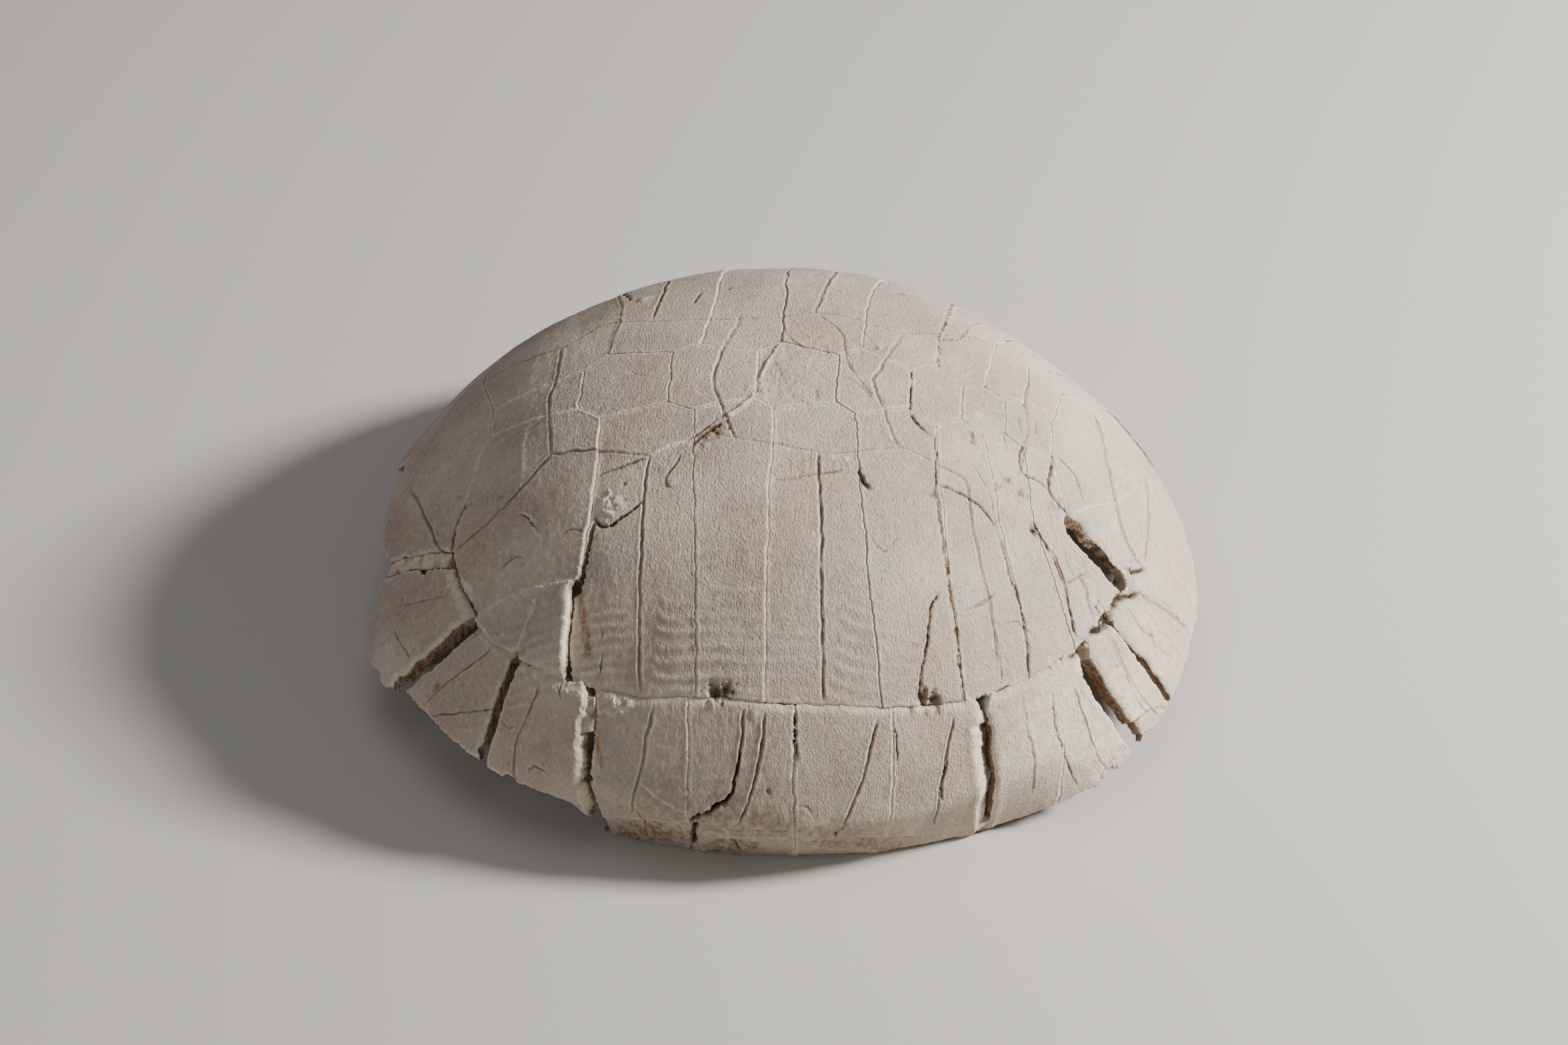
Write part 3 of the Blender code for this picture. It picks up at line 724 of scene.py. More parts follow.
# Breaks, cracks and crusts on the tail end of the side that the photograph shows
LEFT_TAIL_DAMAGE = (
    toothed((55, -46), (58, -59), (61, -70), (64, -80), (70, -99), (75, -113), width=0.55),
    crack((55, -41), (66, -42), (73, -46), (77, -50), width=0.3, height=0.6, dirt=0.9),
    toothed((79, -52), (85, -66), (91, -75), (97, -90), (99, -96), width=0.45),
    crack((91, -42), (95, -47), (99, -50), width=0.35, height=0.7, dirt=0.8),
    toothed((99, -50), (103, -55), (108, -62), (115, -76), width=0.4, opening=1.0),
    hairline((73, -35), (77, -49), (80, -55), pale=0.4),
    hairline((67, -29), (74, -36), (79, -31), pale=0.4),
    crack((97, -9), (96, -21), (97, -27), (105, -32), width=0.42, height=0.8, dirt=0.8),
    hairline((99, -8), (106, -12), (111, -22), width=0.32, dirt=0.6),
    crack((86, -7), (84, -17), (86, -23), (93, -24), (97, -27), width=0.28, height=0.5),
    ridge((140, 14), (126, -11), (114, -22), (106, -31), width=0.6, height=0.2, pale=0.7),
    ridge((78, 12), (100, 14), (124, 11), (142, 16), width=0.7, height=0.2, pale=0.5),
    hairline((83, 4), (85, -5), dirt=0.6), hairline((90, 6), (90, -2), dirt=0.6),
    hairline((78, -8), (79, -15), dirt=0.6), pit(66, -15, 0.9, 0.8, 0.5), pit(66, -18, 0.8, 0.6, 0.5),
    pit(80, -29, 1.0, 0.8, 0.6), pit(85, -32, 1.1, 0.8, 0.5), pit(76, -33, 0.7, 0.5, 0.5),
    crack((90, -43), (92, -47), width=0.75, height=1.3, dirt=1.0, pale=0.4),
    crack((59, -79), (57, -85), (57, -95), (57, -104), (57, -117), width=0.34, height=0.8, dirt=0.9),
    hairline((70, -82), (76, -78), (80, -72), dirt=0.5),
    hairline((41, -68), (42, -65), (44, -64), width=0.35, dirt=0.7),
    hairline((34, -66), (38, -70), (41, -68), dirt=0.5), hairline((111, -53), (116, -49), pale=0.6),
    hairline((112, -52), (116, -57), (121, -64), width=0.35, dirt=0.6),
    hairline((104, -46), (108, -52), (111, -55), dirt=0.3),
    hairline((85, -82), (90, -80), (97, -82), dirt=0.5),
    ridge((-20, -86), (-10, -87), (0, -86), width=0.4, height=0.15),
    crack((129, -57), (131, -52), (134, -49), (141, -43), width=1.1, height=2.2, dirt=0.9, pale=0.2,
          opening=0.5),
    step((141, -43), (152, -39), (165, -35), (178, -30), width=0.5, dirt=0.5, pale=0.6),
    crack((120, -71), (125, -67), (128, -62), (129, -57), width=0.8, height=1.4, dirt=0.9, opening=1.3),
    crack((113, -84), (117, -80), (120, -74), width=0.6, height=1.2, dirt=0.9),
    crack((133, -38), (138, -35), (144, -29), width=0.8, height=1.4, dirt=0.8, pale=0.4, opening=0.6),
    ridge((142, -46), (154, -46), (164, -46), (178, -47), width=1.2, height=0.35, pale=0.5),
    hairline((131, -68), (141, -76), (152, -82), (158, -83), dirt=0.4),
    ridge((147, -93), (154, -85), (158, -81), (171, -75)),
    hairline((99, -48), (107, -59), (111, -69), (116, -76), width=0.35, height=0.4, dirt=0.8),
    hairline((111, -53), (116, -55), (120, -63), dirt=0.7),
    hairline((107, -59), (113, -52), (116, -51), dirt=0.8),
    hairline((72, -81), (77, -76), (80, -74), dirt=0.6),
    hairline((71, -58), (77, -76), (85, -92), (89, -103), dirt=0.5), lump(134, -36, 1.6, 0.9, 0.0, 0.9),
    lump(131, -40, 1.2, 0.8, 0.0, 0.9), lump(139, -42, 3.4, 1.5, 0.0, 0.3),
    hairline((137, -52), (147, -55), (154, -53), width=0.4, dirt=0.3),
    crack((110, -98), (115, -109), (124, -117), (135, -124), width=0.3, height=0.4, dirt=0.5, pale=0.5),
    hairline((150, -92), (158, -82), (171, -72), dirt=0.5), pit(142, -85, 0.6, 0.3, 0.6),
    pit(136, -76, 0.5, 0.3, 0.3),
    step((153, -100), (147, -106), (143, -118), width=0.6, height=0.8, dirt=0.1),
    hairline((140, -44), (156, -36), (175, -33), dirt=0.3),
    hairline((150, -50), (156, -56), (168, -52), dirt=0.2),
)

# Breaks, cracks and crusts of the bridge
BRIDGE_DAMAGE = (
    sulcus((-7, -126), (-8, -140), (-10, -149), width=0.4, height=0.8, dirt=0.5, pale=0.6),
    crack((-8, -140), (-10, -149), (-13, -156), (-24, -162), width=0.5, height=2.2, dirt=0.5, pale=0.5,
          opening=1.5),
    crack((-24, -162), (-28, -164), (-29, -169), (-33, -180), (-36, -190), width=0.9, height=2.8, dirt=0.4,
          pale=0.2, opening=1.7),
    crack((12, -126), (12, -132), (14, -142), height=1.2, dirt=0.4, pale=0.6),
    crack((50, -126), (51, -129), (53, -138), width=0.25, height=0.5, dirt=0.4, pale=0.5),
    crack((73, -133), (73, -140), (74, -147), width=0.35, height=1.2, dirt=0.4),
    step((-79, -166), (-60, -165), (-45, -166), (-30, -166), width=0.5, height=1.7, dirt=0.6, pale=0.8),
    crack((-80, -167), (-60, -166), (-45, -167), (-33, -167), height=0.9, dirt=0.9, pale=0.6),
    crack((-26, -177), (1, -175), (14, -173), height=0.8, dirt=0.9, pale=0.4),
    crack((17, -176), (36, -173), (51, -171), (72, -169), width=0.35, height=0.7, dirt=0.9, pale=0.4),
    step((-28, -176), (-12, -176), (1, -174), (14, -172), width=0.6, height=1.5, dirt=0.6),
    step((17, -175), (36, -172), (51, -170), (72, -168), width=0.7, height=1.6, dirt=0.5, pale=0.4),
    hairline((-28, -171), (-12, -171), (2, -169), (14, -168), dirt=0.3),
    ridge((-48, -148), (-41, -155), (-29, -161), width=0.3, height=0.12, pale=1.0),
    hairline((15, -158), (19, -158), (23, -162), width=0.35, pale=0.6), pit(3, -153, 0.7, 0.8, 0.5),
    hairline((-53, -160), (-52, -166), (-55, -172), width=0.4, dirt=0.7),
    crack((-15, -177), (-12, -182), (-10, -189), width=0.5, height=0.9, dirt=0.6),
    crack((37, -163), (33, -168), (35, -174), width=0.3, height=0.4, dirt=0.3),
    pit(33, -168, 1.0, 0.7, 0.4), hairline((-96, -138), (-92, -136), (-86, -140), width=0.4, dirt=0.4),
    hairline((-68, -146), (-74, -143), dirt=0.4), lump(-61, -121, 1.6, 1.0), lump(-58, -119, 1.4, 0.9),
    lump(-57, -123, 1.7, 1.1), lump(-54, -121, 1.3), lump(-62, -124, 1.2, 0.7), lump(-49, -121, 1.2, 0.6),
    lump(-18, -124, 1.0, 0.4), lump(-3, -127, 1.1, 0.5), pit(-17.5, -119.6, 2.0, 2.6, 1.0),
    pit(-13.5, -119.8, 1.7, 2.2, 1.0), pit(59, -115, 1.9, 2.4, 1.0), pit(63.5, -114.8, 1.8, 2.4, 1.0),
    lump(60.5, -114.6, 0.7, 1.0, 1.0, 0.0),
    step((-112, -133), (-104, -141), (-92, -150), (-85, -155), width=0.6, height=1.0, dirt=0.1, pale=0.6),
    lump(-51, -123, 1.5), lump(56, -119, 1.2, 0.7, 0.6, 0.2), lump(66, -117, 1.2, 0.8, 0.7, 0.2),
    lump(62, -119, 1.0, 0.7, 0.8, 0.0),
)

# The far side's own breaks
RIGHT_DAMAGE = (
    toothed((53, 16), (54, 36), (59, 65), (62, 90), width=0.55, opening=0.8),
    toothed((80, 56), (88, 70), (97, 90), width=0.4),
    toothed((99, 50), (108, 62), (115, 76), width=0.35, opening=1.0),
    crack((-70, 76), (-58, 81), (-45, 79), height=0.7, dirt=0.6), hairline((-98, 60), (-90, 76), (-94, 92)),
    hairline((8, 70), (12, 84), (6, 98)), hairline((92, 58), (100, 70), (97, 82)), pit(40, 66),
    pit(-22, 58, 0.8, 0.7), step((28, 88), (34, 96), (33, 108), height=0.5), lump(-8, 96, 1.5, 0.5),
    lump(70, 92, 1.3, 0.5), crack((-58, 62), (-62, 74), (-66, 90), width=0.3, dirt=0.6),
    lump(-52, 58, 1.5, 0.6), crack((-6, 140), (-9, 152), (-20, 163), width=0.45, height=1.6, dirt=0.5),
    hairline((22, 142), (34, 150), (31, 163)),
    step((-76, 166), (-45, 167), (-15, 171), width=0.6, height=-0.3, dirt=0.4, pale=0.3),
    step((-15, 171), (14, 172), (51, 170), (72, 168), width=0.7, height=-0.3, dirt=0.4, pale=0.3),
    hairline((-128, 92), (-140, 97), (-146, 90)), hairline((-92, 120), (-99, 131), (-96, 140)),
    pit(-118, 86, 0.8, 0.5), hairline((122, 96), (132, 106), (144, 104)),
    hairline((150, 60), (160, 70), (168, 66)), pit(146, 84, 0.8, 0.4),
)

# Peeled, rough, dirty and chalky areas, the far side's last
PATCHES = (
    Patch((6, 6), (13, 16), rough=0.16, stain=0.1, pale=0.15),
    Patch((-1, -4), (5, 9), turn=20, depth=0.3, rough=0.15, stain=0.12, pale=0.2),
    Patch((11, 14), (5, 4), depth=0.25, rough=0.12, stain=0.2, pale=0.1),
    Patch((9, -10), (5, 4), turn=30, depth=0.25, rough=0.05, pale=0.15),
    Patch((-21, -27), (8, 3.4), turn=40, depth=0.35, rough=0.25, stain=0.75),
    Patch((-30, -36), (9, 3), turn=15, depth=0.1, rough=0.2, stain=0.35, pale=0.2),
    Patch((31, -12), (8, 3.5), turn=60, depth=0.2, rough=0.1, stain=0.2, pale=0.1),
    Patch((30, 16), (6, 5), depth=0.2, rough=0.1, stain=0.15, pale=0.1),
    Patch((14, -41), (12, 4), depth=0.05, rough=0.12, stain=0.35, pale=0.3),
    Patch((82, -31), (9, 5), turn=20, depth=0.15, rough=0.2, stain=0.25, pale=0.3),
    Patch((99, -30), (7, 3), turn=40, depth=0.1, rough=0.3, stain=0.4, pale=0.4),
    Patch((112, -50), (8, 4), turn=40, depth=0.2, rough=0.15, stain=0.1, pale=0.5),
    Patch((88, -4), (8, 8), rough=0.14, stain=0.15, pale=0.2),
    Patch((118, -57), (5, 9), turn=20, depth=0.3, rough=0.1, pale=0.4),
    Patch((79, -46), (7, 4), turn=20, depth=0.05, rough=0.12, stain=0.25, pale=0.3),
    # Broad pale areas towards the tail: partly the bone's own cream, partly a painted highlight on the side
    # of the key lamp.
    Patch((131, 10), (12, 10), rough=0.05, pale=0.6, soft=0.6),
    Patch((110, 0), (20, 26), pale=0.35, soft=0.8),
    Patch((152, -24), (26, 30), pale=0.5, ochre=0.12, soft=0.7),
    Patch((155, -56), (22, 18), pale=0.9, ochre=0.25, soft=0.6),
    Patch((128, -100), (32, 28), pale=1.0, ochre=0.08, soft=0.6),
    Patch((146, -84), (20, 16), pale=0.95, ochre=0.12, soft=0.6),
    Patch((104, -118), (22, 28), pale=0.6, soft=0.8),
    Patch((139, -42), (7, 5), turn=30, rough=0.05, pale=0.6, soft=0.5),
    Patch((-56, -121), (8, 4), rough=0.35, pale=0.7),
    Patch((-115, -68), (4, 13), turn=28, depth=0.25, rough=0.04, pale=0.75, soft=0.2),
    Patch((-72, -111), (14, 3.2), turn=-22, depth=0.3, rough=0.08, pale=0.8),
    Patch((43, -132), (1.4, 3.6), stain=0.2, ochre=1.0, soft=0.8),
    # The broad soft stains at (-5, -166), (62, -148) and (30, -145) darken the lower bridge: painted shade,
    # with some brown dirt.
    Patch((44, -128), (1.0, 1.6), ochre=0.8, soft=0.8), Patch((-5, -166), (80, 19), stain=0.5, soft=0.8),
    Patch((62, -148), (34, 22), stain=0.26, soft=0.8), Patch((-38, -25), (52, 46), stain=0.2, soft=0.9),
    Patch((-92, -72), (26, 26), pale=0.35, soft=0.8),
    # Stains along the turned-under strip of the bridge: brown dirt, and painted shade of its underside.
    Patch((-55, -176), (27, 9), rough=0.4, stain=0.8, soft=0.4),
    Patch((-14, -184), (18, 8), rough=0.4, stain=0.7, soft=0.4),
    Patch((40, -176), (38, 6), rough=0.3, stain=0.6, soft=0.5),
    Patch((-64.5, -94), (2.2, 15), turn=4, stain=0.85, ochre=0.3, soft=0.5),
    Patch((-64, -130), (1.4, 12), turn=6, stain=0.8, ochre=0.6),
    Patch((-12, -84), (34, 40), stain=0.34, soft=0.8), Patch((30, -145), (50, 22), stain=0.25, soft=0.8),
    Patch((-110, -150), (30, 14), stain=0.12, soft=0.8), Patch((-36, -103), (8, 12), stain=0.25, soft=0.7),
    Patch((-22, -105), (10, 8), stain=0.2, soft=0.7), Patch((-40, -48), (10, 12), stain=0.22, soft=0.8),
    Patch((-6, -62), (16, 14), stain=0.18, soft=0.8), Patch((-86, -134), (14, 9), stain=0.12, soft=0.7),
    Patch((-150, -66), (9, 18), stain=0.18, soft=0.7), Patch((38, -58), (9, 14), stain=0.14, soft=0.8),
    Patch((62, 20), (7, 8), rough=0.12, pale=0.3),
    Patch((-75, 90), (14, 18), rough=0.12, stain=0.2, pale=0.3),
    Patch((20, 110), (18, 8), rough=0.15, stain=0.25),
    Patch((100, 70), (18, 16), rough=0.08, pale=0.4, soft=0.6),
    Patch((140, 60), (24, 30), pale=0.45, soft=0.7),
    Patch((-20, 178), (50, 9), depth=0.25, rough=0.15, stain=0.35, soft=0.5),
)


@dataclass(frozen=True)
class GrowthRings:
    """Growth lines of one scute: rows along its lower edge, hooked upward at the head end.

    Attributes:
        corner: the scute's lower corner nearest the head, on the map.
        reach: how far the rows run towards the tail.
        rows: how far up from the lower edge they go.
        spacing: width of one row.
        height: their relief.
        strong: length over which the rows stand highest, from their head end.
    """

    corner: Point
    reach: float = 62.0
    rows: float = 36.0
    spacing: float = 4.9
    height: float = 0.12
    strong: float = 16.0

    def relief(self, points: np.ndarray) -> np.ndarray:
        """Works out the growth lines.

        Args:
            points: (u, v) rows.

        Returns:
            Their height at each point, above and below the skin.
        """
        side = -1.0 if self.corner[1] < 0 else 1.0
        up = (self.corner[1] - points[:, 1]) * side + 0.5 * Noise(Seed.RING_FINE_SWAY).at(points, 9.0)
        up = up + 0.8 * Noise(Seed.RING_SWAY).at(points, 30.0)
        start = 2.5 + 0.12 * up
        past = points[:, 0] - self.corner[0] - start
        hooked = up - 2.0 * np.exp(-np.maximum(past, -1.0) / 2.6)
        wave = np.sin(2.0 * math.pi * hooked / self.spacing)
        crest = np.where(wave > 0, wave, 0.6 * wave)
        fade = smooth_step((past + 1.0) / 2.0) * smooth_step((self.reach - past) / 24.0)
        fade = fade * smooth_step((self.rows - up) / 12.0) * smooth_step(up / 2.0)
        strength = 0.5 + 0.5 * np.exp(-np.maximum(past, 0.0) / self.strong)
        return self.height * crest * fade * strength * (0.8 + 0.4 * Noise(Seed.RING_HEIGHT).at(points, 9.0))


# Growth lines of the scutes, each named by its lower corner, the far side's made up
GROWTH = (
    GrowthRings((-43, -121), height=0.23, strong=30.0),
    GrowthRings((20, -122), reach=38.0, rows=40.0, height=0.17),
    GrowthRings((-102, -116), rows=34.0, spacing=4.0, height=0.25, strong=40.0),
    GrowthRings((82, -108), reach=22.0, rows=20.0, height=0.05), GrowthRings((-47, 121), height=0.22),
    GrowthRings((17, 122), reach=40.0, height=0.15), GrowthRings((-104, 116), height=0.13),
    GrowthRings((78, 108), reach=22.0, height=0.06),
    GrowthRings((-46, -160), rows=30.0, height=0.05, strong=40.0),
    GrowthRings((-50, 160), rows=30.0, height=0.05),
)


def roughness(points: np.ndarray) -> np.ndarray:
    """Makes the uneven skin of weathered bone: broad swells, then dimples and fine pits drawn out.

    Args:
        points: (u, v) rows.

    Returns:
        Its height at each point.
    """
    swell = 0.4 * Noise(Seed.SWELL).at(points, 46.0, 2)
    dimples = 0.05 * Noise(Seed.DIMPLES).at(points * np.array([1.0, 0.7]), 4.6, 2)
    fine = 0.045 * Noise(Seed.FINE_PITS).at(points * np.array([1.0, 0.75]), 1.5)
    return swell + dimples + fine


@dataclass(frozen=True)
class Chip:
    """A bite out of a plate's edge.

    Attributes:
        plate: the plate's node.
        place: where on the map.
        reach: half its length.
        depth: how far in it goes.
    """

    plate: str
    place: Point
    reach: float
    depth: float


# Bites out of the plates' edges; a depth below 0 lets an edge out, to narrow the gap beside it
CHIPS = (
    Chip("costal_left_2", (-68.5, -95), 19.0, -2.2), Chip("costal_left_2", (-64, -73), 8.0, -0.5),
    Chip("peripheral_left_7", (81, -114), 9.0, -2.4), Chip("peripheral_left_8", (86, -111), 8.0, -1.8),
    Chip("peripheral_left_9", (117, -82), 8.0, -2.2), Chip("peripheral_left_10", (120, -77), 8.0, -2.0),
    Chip("peripheral_left_3", (-67, -118), 8.0, -1.8), Chip("peripheral_left_4", (-62, -119), 8.0, -1.5),
    Chip("peripheral_left_4", (-67, -146), 30.0, -1.6), Chip("peripheral_left_10", (136, -64), 17.0, -1.3),
    Chip("peripheral_left_11", (136, -61), 17.0, -1.3), Chip("costal_left_3", (-15, -123), 5.0, 0.6),
    Chip("costal_left_4", (8, -124), 6.0, 0.7), Chip("costal_left_5", (61, -117), 5.5, 0.8),
    Chip("peripheral_left_5", (-1, -126), 2.6, 0.5), Chip("costal_left_8", (125, -63), 7.0, 1.8),
    Chip("costal_left_7", (112, -85), 6.0, 0.6), Chip("peripheral_left_10", (126, -68), 4.5, 2.6),
    Chip("peripheral_left_10", (121, -77), 3.5, 1.8), Chip("peripheral_left_11", (132, -57), 6.0, 1.6),
    Chip("peripheral_left_9", (112, -88), 4.5, 0.5), Chip("costal_left_6", (90, -104), 5.0, 0.7),
    Chip("peripheral_left_8", (88, -107), 3.5, 1.3), Chip("peripheral_left_3", (-87, -103), 3.0, 1.4),
    Chip("costal_left_1_outer_end", (-92, -99), 1.8, 1.5), Chip("peripheral_left_9", (147, -112), 7.0, 3.0),
    Chip("peripheral_left_10", (160, -92), 5.0, 2.0), Chip("peripheral_left_5", (-22, -190), 9.0, 2.2),
    Chip("peripheral_left_4", (-44, -187), 7.0, 1.5), Chip("nuchal", (-165, -22), 6.0, 1.8),
    Chip("peripheral_left_1", (-166, -78), 5.0, 1.6), Chip("costal_right_5", (40, 121), 6.0, 1.6),
    Chip("peripheral_right_3", (-96, 148), 6.0, 2.2), Chip("peripheral_right_9", (146, 118), 6.0, 2.4),
    Chip("peripheral_right_11", (176, 52), 6.0, 2.0),
)


@dataclass(frozen=True)
class Slant:
    """A broken edge whose face slopes outward on its way down, so that it is seen from above.

    Attributes:
        plate: the plate's node.
        place: a map point near the middle of the edge.
        reach: how far the face slopes.
        pale: how light the face is painted: near 1 it is a painted highlight of the key lamp on it.
        rise: how much higher the plate stands at that edge.
    """

    plate: str
    place: Point
    reach: float
    pale: float
    rise: float = 0.0


# Broken faces that the photograph shows from above, and plates that stand higher at a break
SLANTS = (
    # A pale near 1 paints a face light: a painted highlight of the key lamp on the faces of
    # peripheral_left_3, costal_left_1_outer_end and peripheral_left_7.
    Slant("peripheral_left_3", (-69, -146), 2.0, 0.95, 1.3),
    Slant("peripheral_left_4", (-64, -146), 0.2, 0.0, -0.8),
    Slant("costal_left_1_outer_end", (-70, -94), 0.4, 0.95, 0.7),
    Slant("costal_left_2", (-65, -94), 0.2, 0.0, -0.5),
    Slant("peripheral_left_7", (84, -133), 6.2, 0.95, 0.6),
    Slant("peripheral_left_1", (-127, -85), 2.0, 0.0), Slant("peripheral_left_2", (-107, -120), 1.5, 0.1),
    Slant("peripheral_left_10", (135, -88), 1.2, 0.0), Slant("suprapygal_1", (116, -35), 2.6, 0.0),
    Slant("costal_right_5", (54, 40), 0.0, 0.0, 0.9), Slant("costal_right_6", (58, 40), 0.0, 0.0, -0.5),
    Slant("peripheral_right_10", (140, 70), 0.5, 0.3, 1.0),
)


@dataclass(frozen=True)
class PlateSizes:
    """Sizes that the plates share.

    Attributes:
        near_grid: grid spacing on the side that the photograph shows.
        far_grid: grid spacing on the other side.
        under_cells: how many cells of the outer face one cell of the inner face spans.
        wall_rows: depths of the rows of points down a plate's edge, as shares.
        thinning: share of the thickness that a plate loses at the rim.
        thinning_start: share of the way to the rim where it starts.
        closed: gap up to which a suture is closed.
        wide: gap from which an open joint counts as wide, and over how much more it grows so.
        hollow: the same for how far its walls are eaten out.
        rim: the same for an edge with no plate beside it.
        left_open: gap that stays in a closed suture.
        ring_open: gap that stays between the back and the margin.
        teeth: depth of the teeth on a broken edge.
        bites: depth of the larger bites.
        margin_round: how far from the back a margin plate's edge is rounded, and how deep.
        back_round: the same for the back's edge along the margin.
        seam: how far from a closed suture its raised seam lies.
        rise_reach: how far into a plate the lift of a raised edge fades.
        rib: height and half width of the rib inside a costal.
        lower: how far the whole skin is let in, so that its relief stays inside the solids.
        far_lower: how much further at the far bridge, where the dome is wider than its solids.
        break_reach: how far into a plate its grid gives way to its broken edge.
        fill_spread: how far rock in a gap spreads past its solid, up to the bone.
        slant_curve: how much flatter a sloping broken face is at its top than at its foot.
    """

    near_grid: float = 0.52
    far_grid: float = 0.85
    under_cells: int = 5
    wall_rows: tuple[float, ...] = (0.08, 0.19, 0.32, 0.46, 0.6, 0.74, 0.88, 1.0)
    thinning: float = 2.0 / 6.5
    thinning_start: float = 0.78
    closed: float = 1.25
    wide: tuple[float, float] = (1.5, 2.0)
    hollow: tuple[float, float] = (1.2, 2.0)
    rim: tuple[float, float] = (8.0, 0.8)
    left_open: float = 0.05
    ring_open: float = -0.3
    teeth: float = 0.6
    bites: float = 1.5
    margin_round: tuple[float, float] = (3.0, 0.8)
    back_round: tuple[float, float] = (1.1, 0.4)
    seam: float = 0.35
    rise_reach: float = 11.0
    rib: tuple[float, float] = (1.1, 4.2)
    lower: float = 0.55
    far_lower: float = 0.5
    break_reach: float = 9.0
    fill_spread: float = 0.42
    slant_curve: float = 2.2

    def thinned(self, share: np.ndarray) -> np.ndarray:
        """Share of the full thickness that a plate has, by its share of the way to the rim."""
        return 1.0 - self.thinning * smooth_step((share - self.thinning_start) / (1.0 - self.thinning_start))

    def opened(self, gap: np.ndarray, limit: tuple[float, float]) -> np.ndarray:
        """How far a gap is past a limit, eased from 0 to 1 over the limit's second number."""
        return smooth_step((gap - limit[0]) / limit[1])


SIZES = PlateSizes()


class Outline:
    """A plate's outline on the map, read from its solid in the frame."""

    def __init__(self, name: str) -> None:
        """Unrolls the solid and walks round the edge of its outer face.

        Args:
            name: the plate's node.
        """
        self.name = name
        bm = bmesh.new()
        bm.from_mesh(frame["nodes"][name].data)
        bmesh.ops.remove_doubles(bm, verts=bm.verts, dist=1e-6)
        places = np.array([vertex.co for vertex in bm.verts]) / MM
        self.solid_points, self.solid_outward = DOME.unroll(places)
        middle = (self.solid_outward.max() + self.solid_outward.min()) / 2.0
        bm.verts.index_update()
        outer = [face for face in bm.faces
                 if all(self.solid_outward[vertex.index] > middle for vertex in face.verts)]
        chosen = set(outer)
        following = {}
        for face in outer:
            for loop in face.loops:
                if sum(1 for other in loop.edge.link_faces if other in chosen) == 1:
                    following[loop.vert.index] = loop.link_loop_next.vert.index
        order = [next(iter(following))]
        while following[order[-1]] != order[0]:
            order.append(following[order[-1]])
        bm.free()
        outer_rows = self.solid_outward > middle
        design = np.c_[np.ones(outer_rows.sum()), self.solid_points[outer_rows]]
        self.lift = np.linalg.lstsq(design, self.solid_outward[outer_rows], rcond=None)[0]
        inner = ~outer_rows & (places[:, 2] > 0.5)
        depth = self.lift_at(self.solid_points[inner]) - self.solid_outward[inner]
        self.thickness = float(np.median(depth / SIZES.thinned(DOME.share(self.solid_points[inner]))))
        self.points = self.solid_points[order]
        self.stands = places[order][:, 2] < 0.05
        ring = self.points
        area = np.sum(ring[:, 0] * np.roll(ring[:, 1], -1) - np.roll(ring[:, 0], -1) * ring[:, 1])
        if area < 0:
            self.points, self.stands = self.points[::-1], self.stands[::-1]

    def lift_at(self, points: np.ndarray) -> np.ndarray:
        """How far the shifted plate stands off the dome at each map point."""
        return self.lift[0] + points @ self.lift[1:]

    def corners(self) -> list[int]:
        """Picks the four outline points that span the largest four-sided shape.

        Returns:
            Their numbers, in order round the outline.
        """
        ahead = np.roll(self.points, -1, axis=0) - self.points
        heading = np.degrees(np.arctan2(ahead[:, 1], ahead[:, 0]))
        turn = np.abs((heading - np.roll(heading, 1) + 180.0) % 360.0 - 180.0)
        candidates = sorted(np.argsort(-turn)[:14])
        best, best_area = None, -1.0
        for four in combinations(candidates, 4):
            a, b, c, d = self.points[list(four)]
            area = abs((c[0] - a[0]) * (d[1] - b[1]) - (d[0] - b[0]) * (c[1] - a[1]))
            if area > best_area:
                best, best_area = list(four), area
        return best

    def sides(self) -> list[np.ndarray]:
        """Cuts the outline at its corners.

        Returns:
            Four sides, each from one corner to the next, as rows of u, v and a stand flag.
        """
        rows = np.c_[self.points, self.stands]
        corners = self.corners()
        result = []
        for start, end in zip(corners, corners[1:] + corners[:1]):
            count = (end - start) % len(rows)
            result.append(rows[[(start + i) % len(rows) for i in range(count + 1)]])
        return result


def resample(line: np.ndarray, count: int) -> np.ndarray:
    """Spreads points evenly along a line.

    Args:
        line: rows whose first two numbers are the map point.
        count: number of steps.

    Returns:
        count + 1 rows.
    """
    length = np.concatenate([[0.0], np.cumsum(np.linalg.norm(np.diff(line[:, :2], axis=0), axis=1))])
    places = np.linspace(0.0, length[-1], count + 1)
    return np.stack([np.interp(places, length, line[:, column]) for column in range(line.shape[1])], 1)


class Row(Enum):
    """Which part of the shell a plate belongs to."""

    BACK = "neurals, costals and suprapygals"
    FRONT = "the nuchal"
    MARGIN = "peripherals and pygal"
    ROCK = "rock in a gap"

    @classmethod
    def of(cls, name: str) -> "Row":
        """The row of a node."""
        starts = {"peripheral": cls.MARGIN, "pygal": cls.MARGIN, "nuchal": cls.FRONT, "matrix": cls.ROCK}
        return next((row for start, row in starts.items() if name.startswith(start)), cls.BACK)


